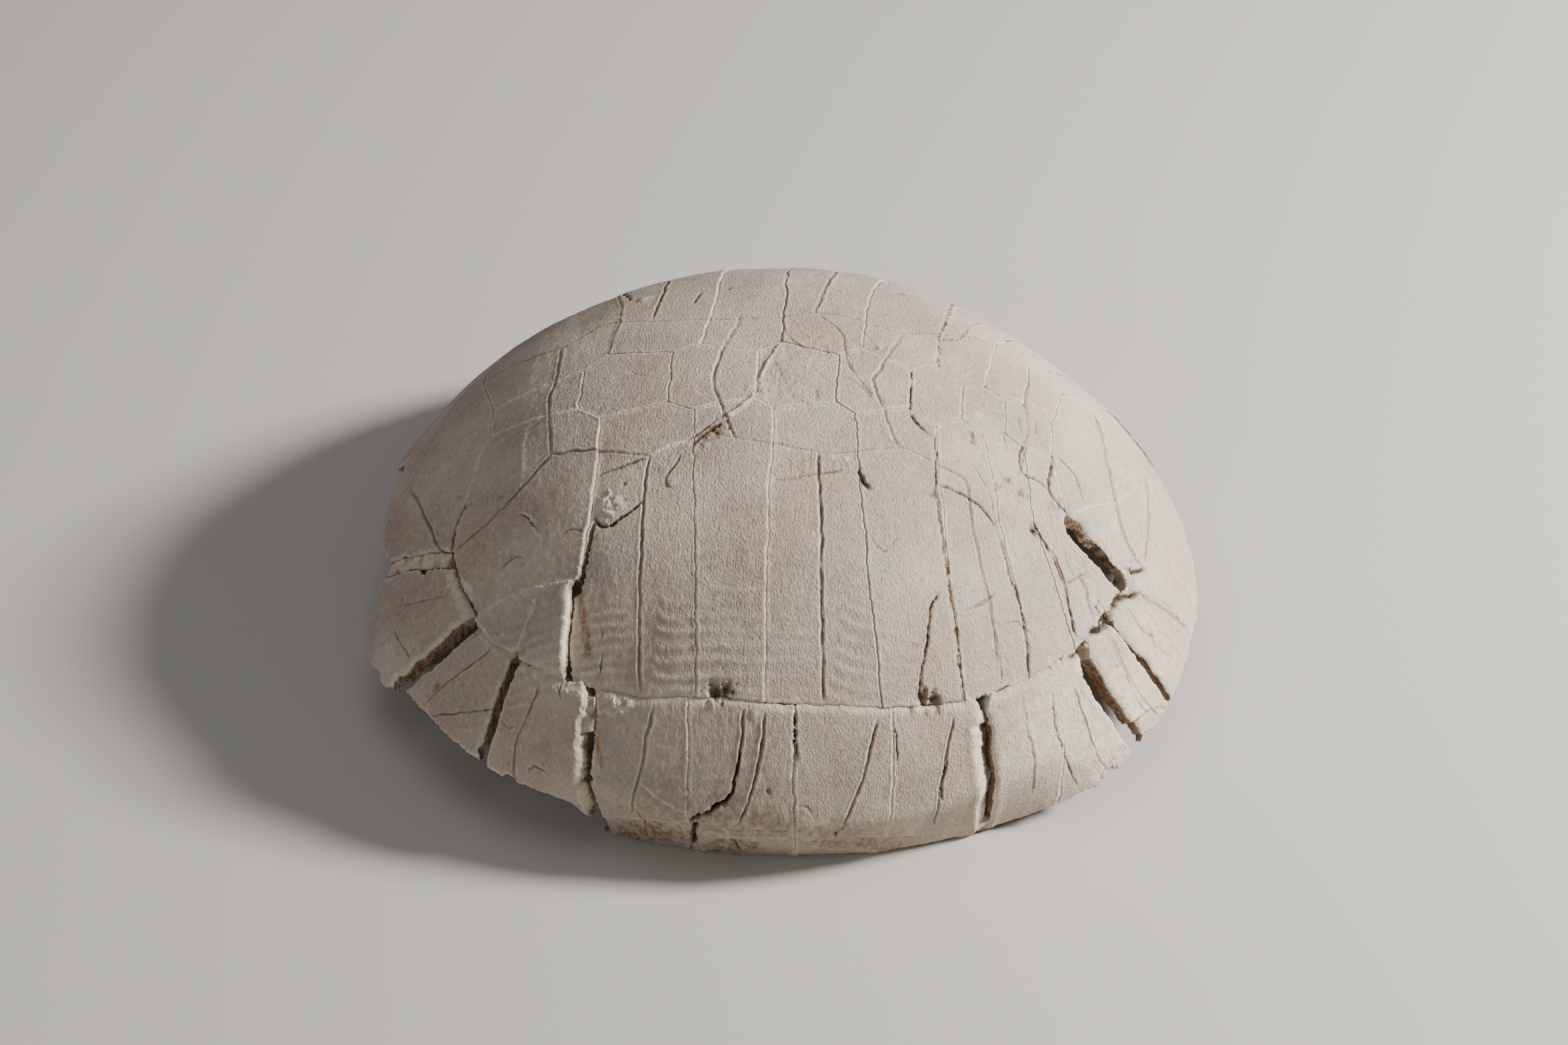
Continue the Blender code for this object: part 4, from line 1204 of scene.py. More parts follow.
class Neighbours:
    """Finds how wide the gap beside a plate is, from all the plates' outlines."""

    def __init__(self, outlines: dict[str, Outline]) -> None:
        """Samples every outline.

        Args:
            outlines: the outlines by node.
        """
        self.samples = {}
        for name, outline in outlines.items():
            closed = np.vstack([outline.points, outline.points[:1]])
            length = np.linalg.norm(np.diff(closed, axis=0), axis=1).sum()
            self.samples[name] = resample(closed, int(length / 0.4))

    def nearest(self, name: str, points: np.ndarray,
                reach: float = 9.0) -> tuple[np.ndarray, np.ndarray, np.ndarray]:
        """Looks for the nearest other plate.

        Args:
            name: the plate that the points are on.
            points: map points on its outline.
            reach: how far to look.

        Returns:
            The gap at each point, at most reach, the nearest point across it, and 1
            where the gap lies between the back and the margin.
        """
        low, high = points.min(axis=0) - reach, points.max(axis=0) + reach
        gap, ring = np.full(len(points), reach), np.zeros(len(points))
        across = points.copy()
        for other, samples in self.samples.items():
            if other == name or Row.ROCK in (Row.of(other), Row.of(name)):
                continue
            close = samples[((samples > low) & (samples < high)).all(axis=1)]
            if len(close) == 0:
                continue
            apart = np.linalg.norm(points[:, None] - close[None], axis=2)
            index = apart.argmin(1)
            distance = apart[np.arange(len(points)), index]
            better = distance < gap
            gap[better] = distance[better]
            across[better] = close[index[better]]
            ring[better] = {Row.of(name), Row.of(other)} == {Row.BACK, Row.MARGIN}
        return gap, across, ring


def suture_sway(points: np.ndarray) -> np.ndarray:
    """Moves map points a little, so that sutures wander like those of grown bone."""
    return points + 0.4 * sway(points, (Seed.SUTURE_SWAY_U, Seed.SUTURE_SWAY_V), 11.0, 2)


def suture_teeth(points: np.ndarray) -> np.ndarray:
    """The small zigzag of a suture, as offsets of map points."""
    return 0.24 * sway(points, (Seed.SUTURE_TEETH_U, Seed.SUTURE_TEETH_V), 1.7)


def coons(sides: list[np.ndarray], weights: list[np.ndarray], share: np.ndarray) -> np.ndarray:
    """Spreads what four sides hold over the patch between them.

    Args:
        sides: rows along the near, right, far and left side, walked round the patch.
        weights: how much of each side reaches each point.
        share: rows of the two shares across the patch, 0 to 1.

    Returns:
        One row for each point.
    """
    across, along = share[:, 0], share[:, 1]
    values = []
    for side, place in zip(sides, (across, along, 1.0 - across, 1.0 - along)):
        steps = np.linspace(0.0, 1.0, len(side))
        values.append(np.stack([np.interp(place, steps, side[:, axis]) for axis in (0, 1)], 1))
    total = sum(value * weight[:, None] for value, weight in zip(values, weights))
    for index in range(4):
        shared = weights[index] * weights[(index + 1) % 4]
        total = total - shared[:, None] * sides[index][-1]
    return total


@dataclass
class Side:
    """One side of a plate on the map, walked with the plate to its left.

    Attributes:
        base: (u, v) rows from corner to corner, along its smooth course.
        points: the same rows along its broken and toothed course.
        gap: how wide the gap beside each is.
        stand: 1 where the shell stands on it.
        ring: 1 where the gap lies between the back and the margin.
        slant: how far the broken face slopes outward on its way down.
        light: how light that face is painted, a painted highlight of the key lamp on it.
        rise: how much higher the plate stands there.
    """

    base: np.ndarray
    points: np.ndarray
    gap: np.ndarray
    stand: np.ndarray
    ring: np.ndarray
    slant: float = 0.0
    light: float = 0.0
    rise: float = 0.0

    def inward(self) -> np.ndarray:
        """Finds the direction into the plate.

        Returns:
            A unit (u, v) row for each point.
        """
        ahead = np.gradient(self.base, axis=0)
        ahead /= np.linalg.norm(ahead, axis=1)[:, None] + 1e-9
        return np.stack([-ahead[:, 1], ahead[:, 0]], 1)

    def ends(self, length: float) -> np.ndarray:
        """A value that rises from 0 at both ends to 1 over some steps."""
        count = np.arange(len(self.points))
        return smooth_step(np.minimum(count, count[::-1]) / length)


class Plate:
    """One bone plate: its fine mesh, with the relief of the fossil."""

    def __init__(self, outline: Outline, neighbours: Neighbours, marks: tuple[Mark, ...]) -> None:
        """Lays out the plate's sides.

        Args:
            outline: the plate's outline.
            neighbours: the other plates.
            marks: all the marks that may cross it.
        """
        self.name = outline.name
        self.row = Row.of(self.name)
        self.outline = outline
        self.marks = marks
        self.grid = SIZES.far_grid if outline.points[:, 1].min() > 5.0 else SIZES.near_grid
        self.seed = sum(ord(letter) * (index + 3) for index, letter in enumerate(self.name)) % 977
        sides = outline.sides()
        lengths = [np.linalg.norm(np.diff(side[:, :2], axis=0), axis=1).sum() for side in sides]
        longest = [max(lengths[0], lengths[2]), max(lengths[1], lengths[3])]
        cells = SIZES.under_cells
        self.cells = [cells * max(2, round(length / self.grid / cells)) for length in longest]
        self.sides = []
        for index, side in enumerate(sides):
            even = resample(side, self.cells[index % 2])
            gap, across, ring = neighbours.nearest(self.name, even[:, :2])
            if self.row is Row.ROCK:
                gap = np.full(len(gap), 0.1)
            stays = np.where(ring > 0.5, SIZES.ring_open, SIZES.left_open)
            closes = (gap < SIZES.closed) & (self.row is not Row.ROCK)
            share = np.where(closes, 0.5 - 0.5 * stays / np.maximum(gap, 0.1), 0.0)
            base = suture_sway(even[:, :2] + (across - even[:, :2]) * share[:, None])
            self.sides.append(Side(base, base + suture_teeth(base), gap, even[:, 2], ring))
        for slant in SLANTS:
            if slant.plate == self.name:
                place = np.array(slant.place)
                chosen = min(self.sides, key=lambda side: np.linalg.norm(side.points - place, axis=1).min())
                chosen.slant, chosen.light, chosen.rise = slant.reach, slant.pale, slant.rise
        for side in self.sides:
            if self.row is Row.ROCK:
                side.base = side.base - SIZES.fill_spread * side.inward()
                side.points = side.base + suture_teeth(side.base)
            self.break_edge(side)
        for index in range(4):
            self.sides[index].base[-1] = self.sides[(index + 1) % 4].base[0]
            self.sides[index].points[-1] = self.sides[(index + 1) % 4].points[0]

    def break_edge(self, side: Side) -> None:
        """Breaks an edge a little inward beside open gaps, at the rim and where it is chipped.

        Args:
            side: the side, which is changed.
        """
        noise = Noise(Seed.BROKEN_EDGE + self.seed % 7)
        teeth = (0.5 + 0.5 * noise.at(side.points, 1.5, 2)) * SIZES.teeth
        bites = SIZES.bites * smooth_step((noise.at(side.points + 40.0, 13.0) - 0.45) / 0.3)
        open_edge = smooth_step((side.gap - SIZES.closed) / 0.35)
        wide = SIZES.opened(side.gap, SIZES.wide)
        move = open_edge * (0.3 * teeth + wide * (0.7 * teeth + bites)) * side.ends(4.0)
        for chip in CHIPS:
            if chip.plate == self.name:
                away = np.linalg.norm(side.points - np.array(chip.place), axis=1) / chip.reach
                ragged = 1.0 + 0.35 * noise.at(side.points + 90.0, 2.6, 2)
                move = move + chip.depth * (1.0 - smooth_step(away * ragged * 1.4 - 0.35)) * side.ends(4.0)
        side.points = side.points + side.inward() * move[:, None]

    def template(self) -> bpy.types.Mesh:
        """Builds the plate's faces in a unit box: x and y across it, z from 0 outside to -1 inside.

        Returns:
            The closed box as a mesh, fine outside and coarse inside.
        """
        wide, deep = self.cells
        bm = bmesh.new()
        bmesh.ops.create_grid(bm, x_segments=wide, y_segments=deep, size=0.5)
        edges = [edge for edge in bm.edges if edge.is_boundary]
        last = 0.0
        for row in SIZES.wall_rows:
            made = bmesh.ops.extrude_edge_only(bm, edges=edges)["geom"]
            verts = [item for item in made if isinstance(item, bmesh.types.BMVert)]
            edges = [item for item in made if isinstance(item, bmesh.types.BMEdge) and item.is_boundary]
            bmesh.ops.translate(bm, verts=verts, vec=(0.0, 0.0, last - row))
            last = row
        known = set(bm.verts)
        inner = bmesh.ops.create_grid(bm, x_segments=wide // SIZES.under_cells,
                                      y_segments=deep // SIZES.under_cells, size=0.5)["verts"]
        bmesh.ops.translate(bm, verts=inner, vec=(0.0, 0.0, -1.0))
        border = [edge for edge in bm.edges if edge.is_boundary and edge.verts[0] not in known]
        bmesh.ops.subdivide_edges(bm, edges=border, cuts=SIZES.under_cells - 1)
        open_verts = [vert for vert in bm.verts if vert.is_boundary]
        bmesh.ops.remove_doubles(bm, verts=open_verts, dist=1e-4)
        bmesh.ops.recalc_face_normals(bm, faces=bm.faces)
        mesh = bpy.data.meshes.new(self.name + "_fine")
        bm.to_mesh(mesh)
        bm.free()
        return mesh

    def spread(self, share: np.ndarray) -> np.ndarray:
        """Places box points between the four sides.

        Args:
            share: rows of the two shares across the plate, 0 to 1.

        Returns:
            (u, v) rows.
        """
        across, along = share[:, 0], share[:, 1]
        deep, wide = (span.mean() for span in self.spans())
        even = [1.0 - along, across, along, 1.0 - across]
        aways = (along * deep, (1.0 - across) * wide, (1.0 - along) * deep, across * wide)
        local = [1.0 - smooth_step(away / SIZES.break_reach) for away in aways]
        offsets = [side.points - side.base for side in self.sides]
        return coons([side.base for side in self.sides], even, share) + coons(offsets, local, share)

    def spans(self) -> tuple[np.ndarray, np.ndarray]:
        """Measures the plate across.

        Returns:
            From each point of its near side to the far side, and from its right to its left.
        """
        near, right, far, left = (side.base for side in self.sides)
        return np.linalg.norm(far[::-1] - near, axis=1), np.linalg.norm(left[::-1] - right, axis=1)

    def edge_measures(self, share: np.ndarray) -> tuple[np.ndarray, np.ndarray]:
        """Measures each point against the four sides.

        Args:
            share: rows of the two shares across the plate.

        Returns:
            The distance from each side, one column a side, and for each side the gap,
            stand, ring, slant, light, rise and inward direction beside the point.
        """
        across, along = share[:, 0], share[:, 1]
        spans = self.spans()
        places = (across, along, 1.0 - across, 1.0 - along)
        aways = (along, 1.0 - across, 1.0 - along, across)
        distances, tables = [], []
        for index, (side, place, away) in enumerate(zip(self.sides, places, aways)):
            steps = np.linspace(0.0, 1.0, len(side.points))
            span = spans[index % 2] if index < 2 else spans[index % 2][::-1]
            distances.append(away * np.interp(place, steps, span))
            ends = side.ends(12.0)
            columns = (side.gap, side.stand, side.ring, side.slant * ends, side.light * ends,
                       side.rise * ends, *side.inward().T)
            tables.append(np.stack([np.interp(place, steps, column) for column in columns], 1))
        return np.stack(distances, 1), np.stack(tables, 1)

    def edge_relief(self, skin: Skin, distances: np.ndarray, table: np.ndarray) -> None:
        """Rounds the edges and dirties them as the gap beside them is closed, open or wide, with a painted
        shadow line along the back's edge at the margin.

        Args:
            skin: the plate's outer face.
            distances: distance from each side.
            table: what is beside each side.
        """
        points = skin.points
        patchy = np.clip(0.5 + 0.5 * Noise(Seed.EDGE_WEAR).at(points, 12.0, 2), 0.0, 1.0)
        everywhere = slice(None)
        stitch = 0.3 * Noise(Seed.SUTURE_STITCH).at(points, 1.15)
        margin = self.row is Row.MARGIN
        for distance, beside in zip(distances.T, table.transpose(1, 2, 0)):
            gap, _, ring, _, _, rise, _, _ = beside
            skin.height += rise * np.exp(-distance / SIZES.rise_reach)
            shut = (1.0 - smooth_step((gap - SIZES.closed) / 0.2)) * (1.0 - ring)
            rim = SIZES.opened(gap, SIZES.rim)
            wide = SIZES.opened(gap, SIZES.wide)
            open_edge = 1.0 - np.maximum(shut, ring)
            seam = np.abs(distance - SIZES.seam + stitch)
            skin.height += shut * (0.13 * bump(seam, 0.5) * (0.5 + patchy) - 0.2 * bump(distance, 0.22))
            skin.cover(everywhere, pale=shut * bump(seam, 0.55) * (0.35 + 0.6 * patchy))
            if margin:
                reach, drop = SIZES.margin_round
                skin.height -= ring * drop * np.clip(1.0 - distance / reach, 0.0, 1.0) ** 2
                skin.cover(everywhere, pale=ring * bump(distance - 1.2, 1.7) * (0.35 + 0.3 * patchy))
            else:
                reach, drop = SIZES.back_round
                skin.height -= ring * drop * np.clip(1.0 - distance / reach, 0.0, 1.0) ** 2
                # A thin brown line on the back's edge along the margin: painted shadow under the overhanging
                # edge, with some dirt.
                skin.cover(everywhere, stain=ring * 0.3 * bump(distance, 0.35) * (1.0 - patchy),
                           pale=ring * bump(distance - 0.8, 0.9) * 0.7 * patchy)
            round_edge = np.clip(1.0 - distance / (1.0 + 1.0 * wide), 0.0, 1.0) ** 2
            skin.height -= open_edge * (0.4 + 0.35 * wide) * round_edge
            skin.height += open_edge * 0.2 * bump(distance - 3.0, 1.8) * (1.0 - rim)
            skin.cover(everywhere, pale=open_edge * bump(distance - 0.7, 0.8) * (0.35 + 0.5 * patchy))

    def outer_skin(self, points: np.ndarray, distances: np.ndarray, table: np.ndarray) -> Skin:
        """Makes the relief of the plate's outer face.

        Args:
            points: (u, v) rows.
            distances: distance from each side.
            table: what is beside each side.

        Returns:
            The skin at the points.
        """
        skin = Skin.plain(points)
        skin.height += roughness(points)
        if self.row is Row.ROCK:
            smooth = "nuchal" in self.name
            skin.height += 0.6 * Noise(Seed.ROCK_LUMPS).at(points, 4.5, 3) + (0.4 if smooth else 2.0)
            skin.pale += 0.75 if smooth else 0.9
            skin.stain += np.clip(0.2 + 0.5 * Noise(Seed.ROCK_DIRT).at(points, 6.0, 2), 0.0, 0.8)
            return skin
        skin.height += 0.14 * math.sin(self.seed) - SIZES.lower
        skin.height -= SIZES.far_lower * smooth_step((points[:, 1] - 130.0) / 20.0)
        # Paler towards the tail: partly the bone's own cream, partly a painted highlight on the side of the
        # key lamp.
        skin.pale += 0.25 * smooth_step((points[:, 0] - 40.0) / 90.0)
        for rings in GROWTH:
            rows = rings.relief(points)
            skin.height += rows
            # Crests of the growth rows are painted paler and their troughs browner: painted highlight and
            # painted shade on the rows.
            skin.stain += np.clip(-1.3 * rows, 0.0, 0.3)
            skin.pale += np.clip(1.3 * rows, 0.0, 0.3)
        for patch in PATCHES:
            patch.lay(skin)
        for mark in self.marks:
            skin.draw(mark)
        self.edge_relief(skin, distances, table)
        return skin

    def inner_relief(self, points: np.ndarray, share: np.ndarray) -> np.ndarray:
        """Makes the inner face's relief: a rib down the middle of a costal, and shallow swells.

        Args:
            points: (u, v) rows.
            share: rows of the two shares across the plate.

        Returns:
            Its height inward at each point.
        """
        relief = 0.5 * Noise(Seed.INNER_SWELL).at(points, 30.0, 3)
        relief = relief + 0.12 * Noise(Seed.INNER_DIMPLES).at(points, 5.0)
        if self.name.startswith("costal") and "outer" not in self.name:
            narrow = 0 if self.cells[0] < self.cells[1] else 1
            across = (share[:, narrow] - 0.5) * min(self.cells) * self.grid
            ends = smooth_step(np.minimum(share[:, 1 - narrow], 1.0 - share[:, 1 - narrow]) / 0.06)
            height, width = SIZES.rib
            relief = relief + height * bump(across, width) * ends
        return relief

    def wall_roughness(self, points: np.ndarray, depth: np.ndarray, gap: np.ndarray) -> np.ndarray:
        """Eats out the broken, spongy edge.

        Args:
            points: (u, v) rows.
            depth: how far down the edge each is, 0 to 1.
            gap: how wide the gap beside it is.

        Returns:
            How far inward each point of the edge goes.
        """
        noise = Noise(Seed.SPONGY_WALL + self.seed % 5)
        teeth = noise.at(np.stack([points[:, 0] + points[:, 1], points[:, 0] - points[:, 1]], 1), 1.5)
        down = np.stack([points[:, 0] * 2.0 + depth * 13.0, points[:, 1] * 2.0 - depth * 11.0], 1)
        sponge = noise.at(down, 2.4, 2)
        wide = SIZES.opened(gap, SIZES.hollow)
        middle = np.sin(math.pi * np.clip(depth, 0.0, 1.0))
        return wide * middle * (0.2 + 0.35 * np.abs(teeth) + 0.5 * np.abs(sponge))

    def build(self) -> bpy.types.Object:
        """Makes the plate's object.

        Returns:
            The fine plate, closed, with its dirt, wear, painted shade and painted highlights in attributes.
        """
        mesh = self.template()
        count = len(mesh.vertices)
        box = np.empty(count * 3, np.float32)
        mesh.vertices.foreach_get("co", box)
        box = box.reshape(-1, 3).astype(float)
        share, depth = np.clip(box[:, :2] + 0.5, 0.0, 1.0), np.clip(-box[:, 2], 0.0, 1.0)
        points = self.spread(share)
        distances, table = self.edge_measures(share)
        edge = distances.argmin(1)
        rows = np.arange(count)
        gap, stand, ring, slant, light, _, inward_u, inward_v = table[rows, edge].T
        inward = np.stack([inward_u, inward_v], 1)
        margin = distances[rows, edge]

        skin = self.outer_skin(points, distances, table)
        outer = depth < 1e-4
        wall = (margin < 1e-3) & ~outer
        thickness = self.outline.thickness * SIZES.thinned(DOME.share(points))
        hollow = SIZES.opened(gap, SIZES.hollow)
        bottom_round = 0.55 * np.clip(1.0 - margin / 2.4, 0.0, 1.0) ** 2 * hollow
        inner = self.inner_relief(points, share) * (1.0 - bump(margin, 1.0)) - bottom_round
        outward = self.outline.lift_at(points) + (1.0 - depth) * skin.height - depth * (thickness + inner)

        flat = np.stack([points[:, 0] + depth * thickness, points[:, 1] + depth * thickness], 1)
        sloped = slant * (1.0 - (1.0 - depth) ** SIZES.slant_curve)
        eaten = np.where(wall, self.wall_roughness(points, depth, gap) - sloped, 0.0)
        points = points + inward * eaten[:, None]
        points = self.stand_flat(points, outward, wall & (stand > 0.5), inward)
        places = DOME.roll(points, outward)
        places[:, 2] = np.maximum(places[:, 2], 0.0)
        mesh.vertices.foreach_set("co", (places * MM).astype(np.float32).ravel())

        open_wall = wall & ((gap > SIZES.closed) | (ring > 0.5))
        rim = SIZES.opened(gap, SIZES.rim)
        spongy = np.clip(0.75 + 0.45 * Noise(Seed.WALL_DIRT).at(flat, 3.4, 2), 0.0, 1.0)
        # A face with a light value is painted pale and clean on its upper part, a painted highlight where
        # the key lamp reaches it; below that it keeps its brown.
        below = smooth_step((depth - 0.6) / 0.2)
        bare = np.maximum(0.55 * rim, 0.7 * ring)
        wall_stain = np.where(open_wall, spongy * (1.0 - bare) * (1.0 - light * (1.0 - below)), 0.0)
        under_stain = np.clip(0.35 + 0.4 * Noise(Seed.INNER_DIRT).at(points, 24.0, 3), 0.0, 1.0)
        # Pale: the bone's own paleness and the ring's chalk, and the painted highlight of lit faces.
        wall_pale_and_highlight = np.maximum(np.maximum(0.35 * (1.0 - wall_stain), light), 0.7 * ring)
        # Faces that are not painted light get a little painted shade.
        wall_painted_shade = np.where(wall & (light < 0.3), 0.12 * spongy * (1.0 - bare), 0.0)
        wall_ochre = np.where(wall & (ring < 0.5), 0.12 * spongy, 0.0)
        values = {
            "stain": np.where(outer, skin.stain, np.where(wall, wall_stain, under_stain)),
            "dark": np.where(outer, skin.dark, wall_painted_shade),
            "pale": np.where(outer, skin.pale, np.where(wall, wall_pale_and_highlight, 0.0)),
            "ochre": np.where(outer, skin.ochre, wall_ochre),
        }
        for name, value in values.items():
            attribute = mesh.attributes.new(name, "FLOAT", "POINT")
            attribute.data.foreach_set("value", np.clip(value, 0.0, 1.0).astype(np.float32))
        corners = np.empty(len(mesh.loops), np.int32)
        mesh.loops.foreach_get("vertex_index", corners)
        layer = mesh.uv_layers.new(name="flat_map")
        layer.uv.foreach_set("vector", (flat[corners] * MM).astype(np.float32).ravel())
        mesh.polygons.foreach_set("use_smooth", np.ones(len(mesh.polygons), bool))
        mesh.update()
        plate = bpy.data.objects.new(self.name + "_bone", mesh)
        bpy.context.scene.collection.objects.link(plate)
        return plate

    def stand_flat(self, points: np.ndarray, outward: np.ndarray, rows: np.ndarray,
                   inward: np.ndarray) -> np.ndarray:
        """Makes the edge that the shell stands on flat.

        Args:
            points: map points.
            outward: their distance outward of the dome.
            rows: which of them are on the standing edge.
            inward: direction into the plate.

        Returns:
            The map points, with the standing edge let down to the surface.
        """
        chosen = np.nonzero(rows)[0]
        if len(chosen) == 0:
            return points
        moved = points.copy()
        for _ in range(4):
            here = DOME.roll(moved[chosen], outward[chosen])[:, 2]
            there = DOME.roll(moved[chosen] - inward[chosen], outward[chosen])[:, 2]
            slope = np.minimum(there - here, -0.2)
            travel = np.clip(-here / slope, -1.5, 1.5)
            moved[chosen] -= inward[chosen] * travel[:, None]
        return moved


def linear(hex_colour: str) -> tuple[float, float, float, float]:
    """Turns a colour to the linear one that shaders take.

    Args:
        hex_colour: the colour as sRGB hex.

    Returns:
        Red, green, blue and full opacity.
    """
    values = [int(hex_colour[i:i + 2], 16) / 255.0 for i in (1, 3, 5)]
    channels = [value / 12.92 if value <= 0.04045 else ((value + 0.055) / 1.055) ** 2.4 for value in values]
    return (*channels, 1.0)


class Nodes:
    """A material's node tree, with one way of adding a node."""

    def __init__(self, name: str) -> None:
        """Starts a material with its shader.

        Args:
            name: the material's name.
        """
        self.material = bpy.data.materials.new(name)
        self.material.use_nodes = True
        self.tree = self.material.node_tree
        self.shader = self.tree.nodes["Principled BSDF"]

    def add(self, kind: str, inputs: dict | None = None, **settings: object) -> bpy.types.Node:
        """Adds a node with its settings and links.

        Args:
            kind: the node's type.
            inputs: by input name or number, a value or the socket to link from.
            settings: properties of the node.

        Returns:
            The node.
        """
        node = self.tree.nodes.new(kind)
        for key, value in settings.items():
            setattr(node, key, value)
        for key, value in (inputs or {}).items():
            if isinstance(value, bpy.types.NodeSocket):
                self.tree.links.new(value, node.inputs[key])
            else:
                node.inputs[key].default_value = value
        return node


class BoneNodes(Nodes):
    """A node tree with the places that the patterns on bone are read at."""

    def __init__(self, name: str) -> None:
        """Adds a place in space, and one on the flat map, where v runs from the crown to the rim.

        Args:
            name: the material's name.
        """
        super().__init__(name)
        self.place = self.add("ShaderNodeTexCoord").outputs["Object"]
        flat = self.add("ShaderNodeUVMap", uv_map="flat_map").outputs[0]
        self.drawn_out = self.add("ShaderNodeMapping", {"Vector": flat, "Scale": (1.0, 0.7, 1.0)}).outputs[0]


@dataclass(frozen=True)
class Lumps:
    """A random pattern whose lumps have a real size.

    Attributes:
        size: width of the largest lumps.
        detail: how many finer lumps are added.
        offset: where the pattern is read, so that no two match.
        drawn_out: whether the lumps are drawn out from the crown to the rim.
    """

    size: float
    detail: float
    offset: float
    drawn_out: bool = False

    def build(self, nodes: BoneNodes) -> bpy.types.NodeSocket:
        """Adds the pattern to a material.

        Args:
            nodes: the material's nodes.

        Returns:
            The socket with its value.
        """
        place = nodes.drawn_out if self.drawn_out else nodes.place
        shifted = nodes.add("ShaderNodeMapping", {"Vector": place, "Location": (self.offset,) * 3})
        scale = 1.0 / (self.size * MM)
        return nodes.add("ShaderNodeTexNoise", {"Vector": shifted.outputs[0], "Scale": scale,
                                                "Detail": self.detail, "Roughness": 0.55}).outputs["Fac"]


@dataclass(frozen=True)
class Layer:
    """One colour laid over those before it.

    Attributes:
        colour: the colour.
        lumps: the pattern that it lies in, if it has one.
        low: value of the pattern up to which it is absent.
        high: value of the pattern from which it covers.
        share: how strongly it covers there.
        follows: the plate's attribute that it follows, or nothing.
    """

    colour: str
    lumps: Lumps | None = None
    low: float = 0.0
    high: float = 1.0
    share: float = 1.0
    follows: str = ""

    def lay(self, nodes: BoneNodes, under: object) -> bpy.types.NodeSocket:
        """Adds the layer to a material.

        Args:
            nodes: the material's nodes.
            under: the colour below, or its socket.

        Returns:
            The socket with the colour so far.
        """
        share = self.share
        if self.lumps:
            spread = nodes.add("ShaderNodeMapRange", {"Value": self.lumps.build(nodes), "From Min": self.low,
                                                      "From Max": self.high})
            share = nodes.add("ShaderNodeMath", {0: spread.outputs[0], 1: share},
                              operation="MULTIPLY").outputs[0]
        if self.follows:
            value = nodes.add("ShaderNodeAttribute", attribute_name=self.follows).outputs["Fac"]
            share = nodes.add("ShaderNodeMath", {0: value, 1: share}, operation="MULTIPLY").outputs[0]
        return nodes.add("ShaderNodeMix", {"Factor": share, 6: under, 7: linear(self.colour)},
                         data_type="RGBA").outputs[2]


@dataclass(frozen=True)
class Pitting:
    """Relief of the finish that is too fine for the mesh.

    Attributes:
        lumps: its pattern.
        strength: how strongly it shows, 0 to 1.
        depth: its depth.
    """

    lumps: Lumps
    strength: float
    depth: float


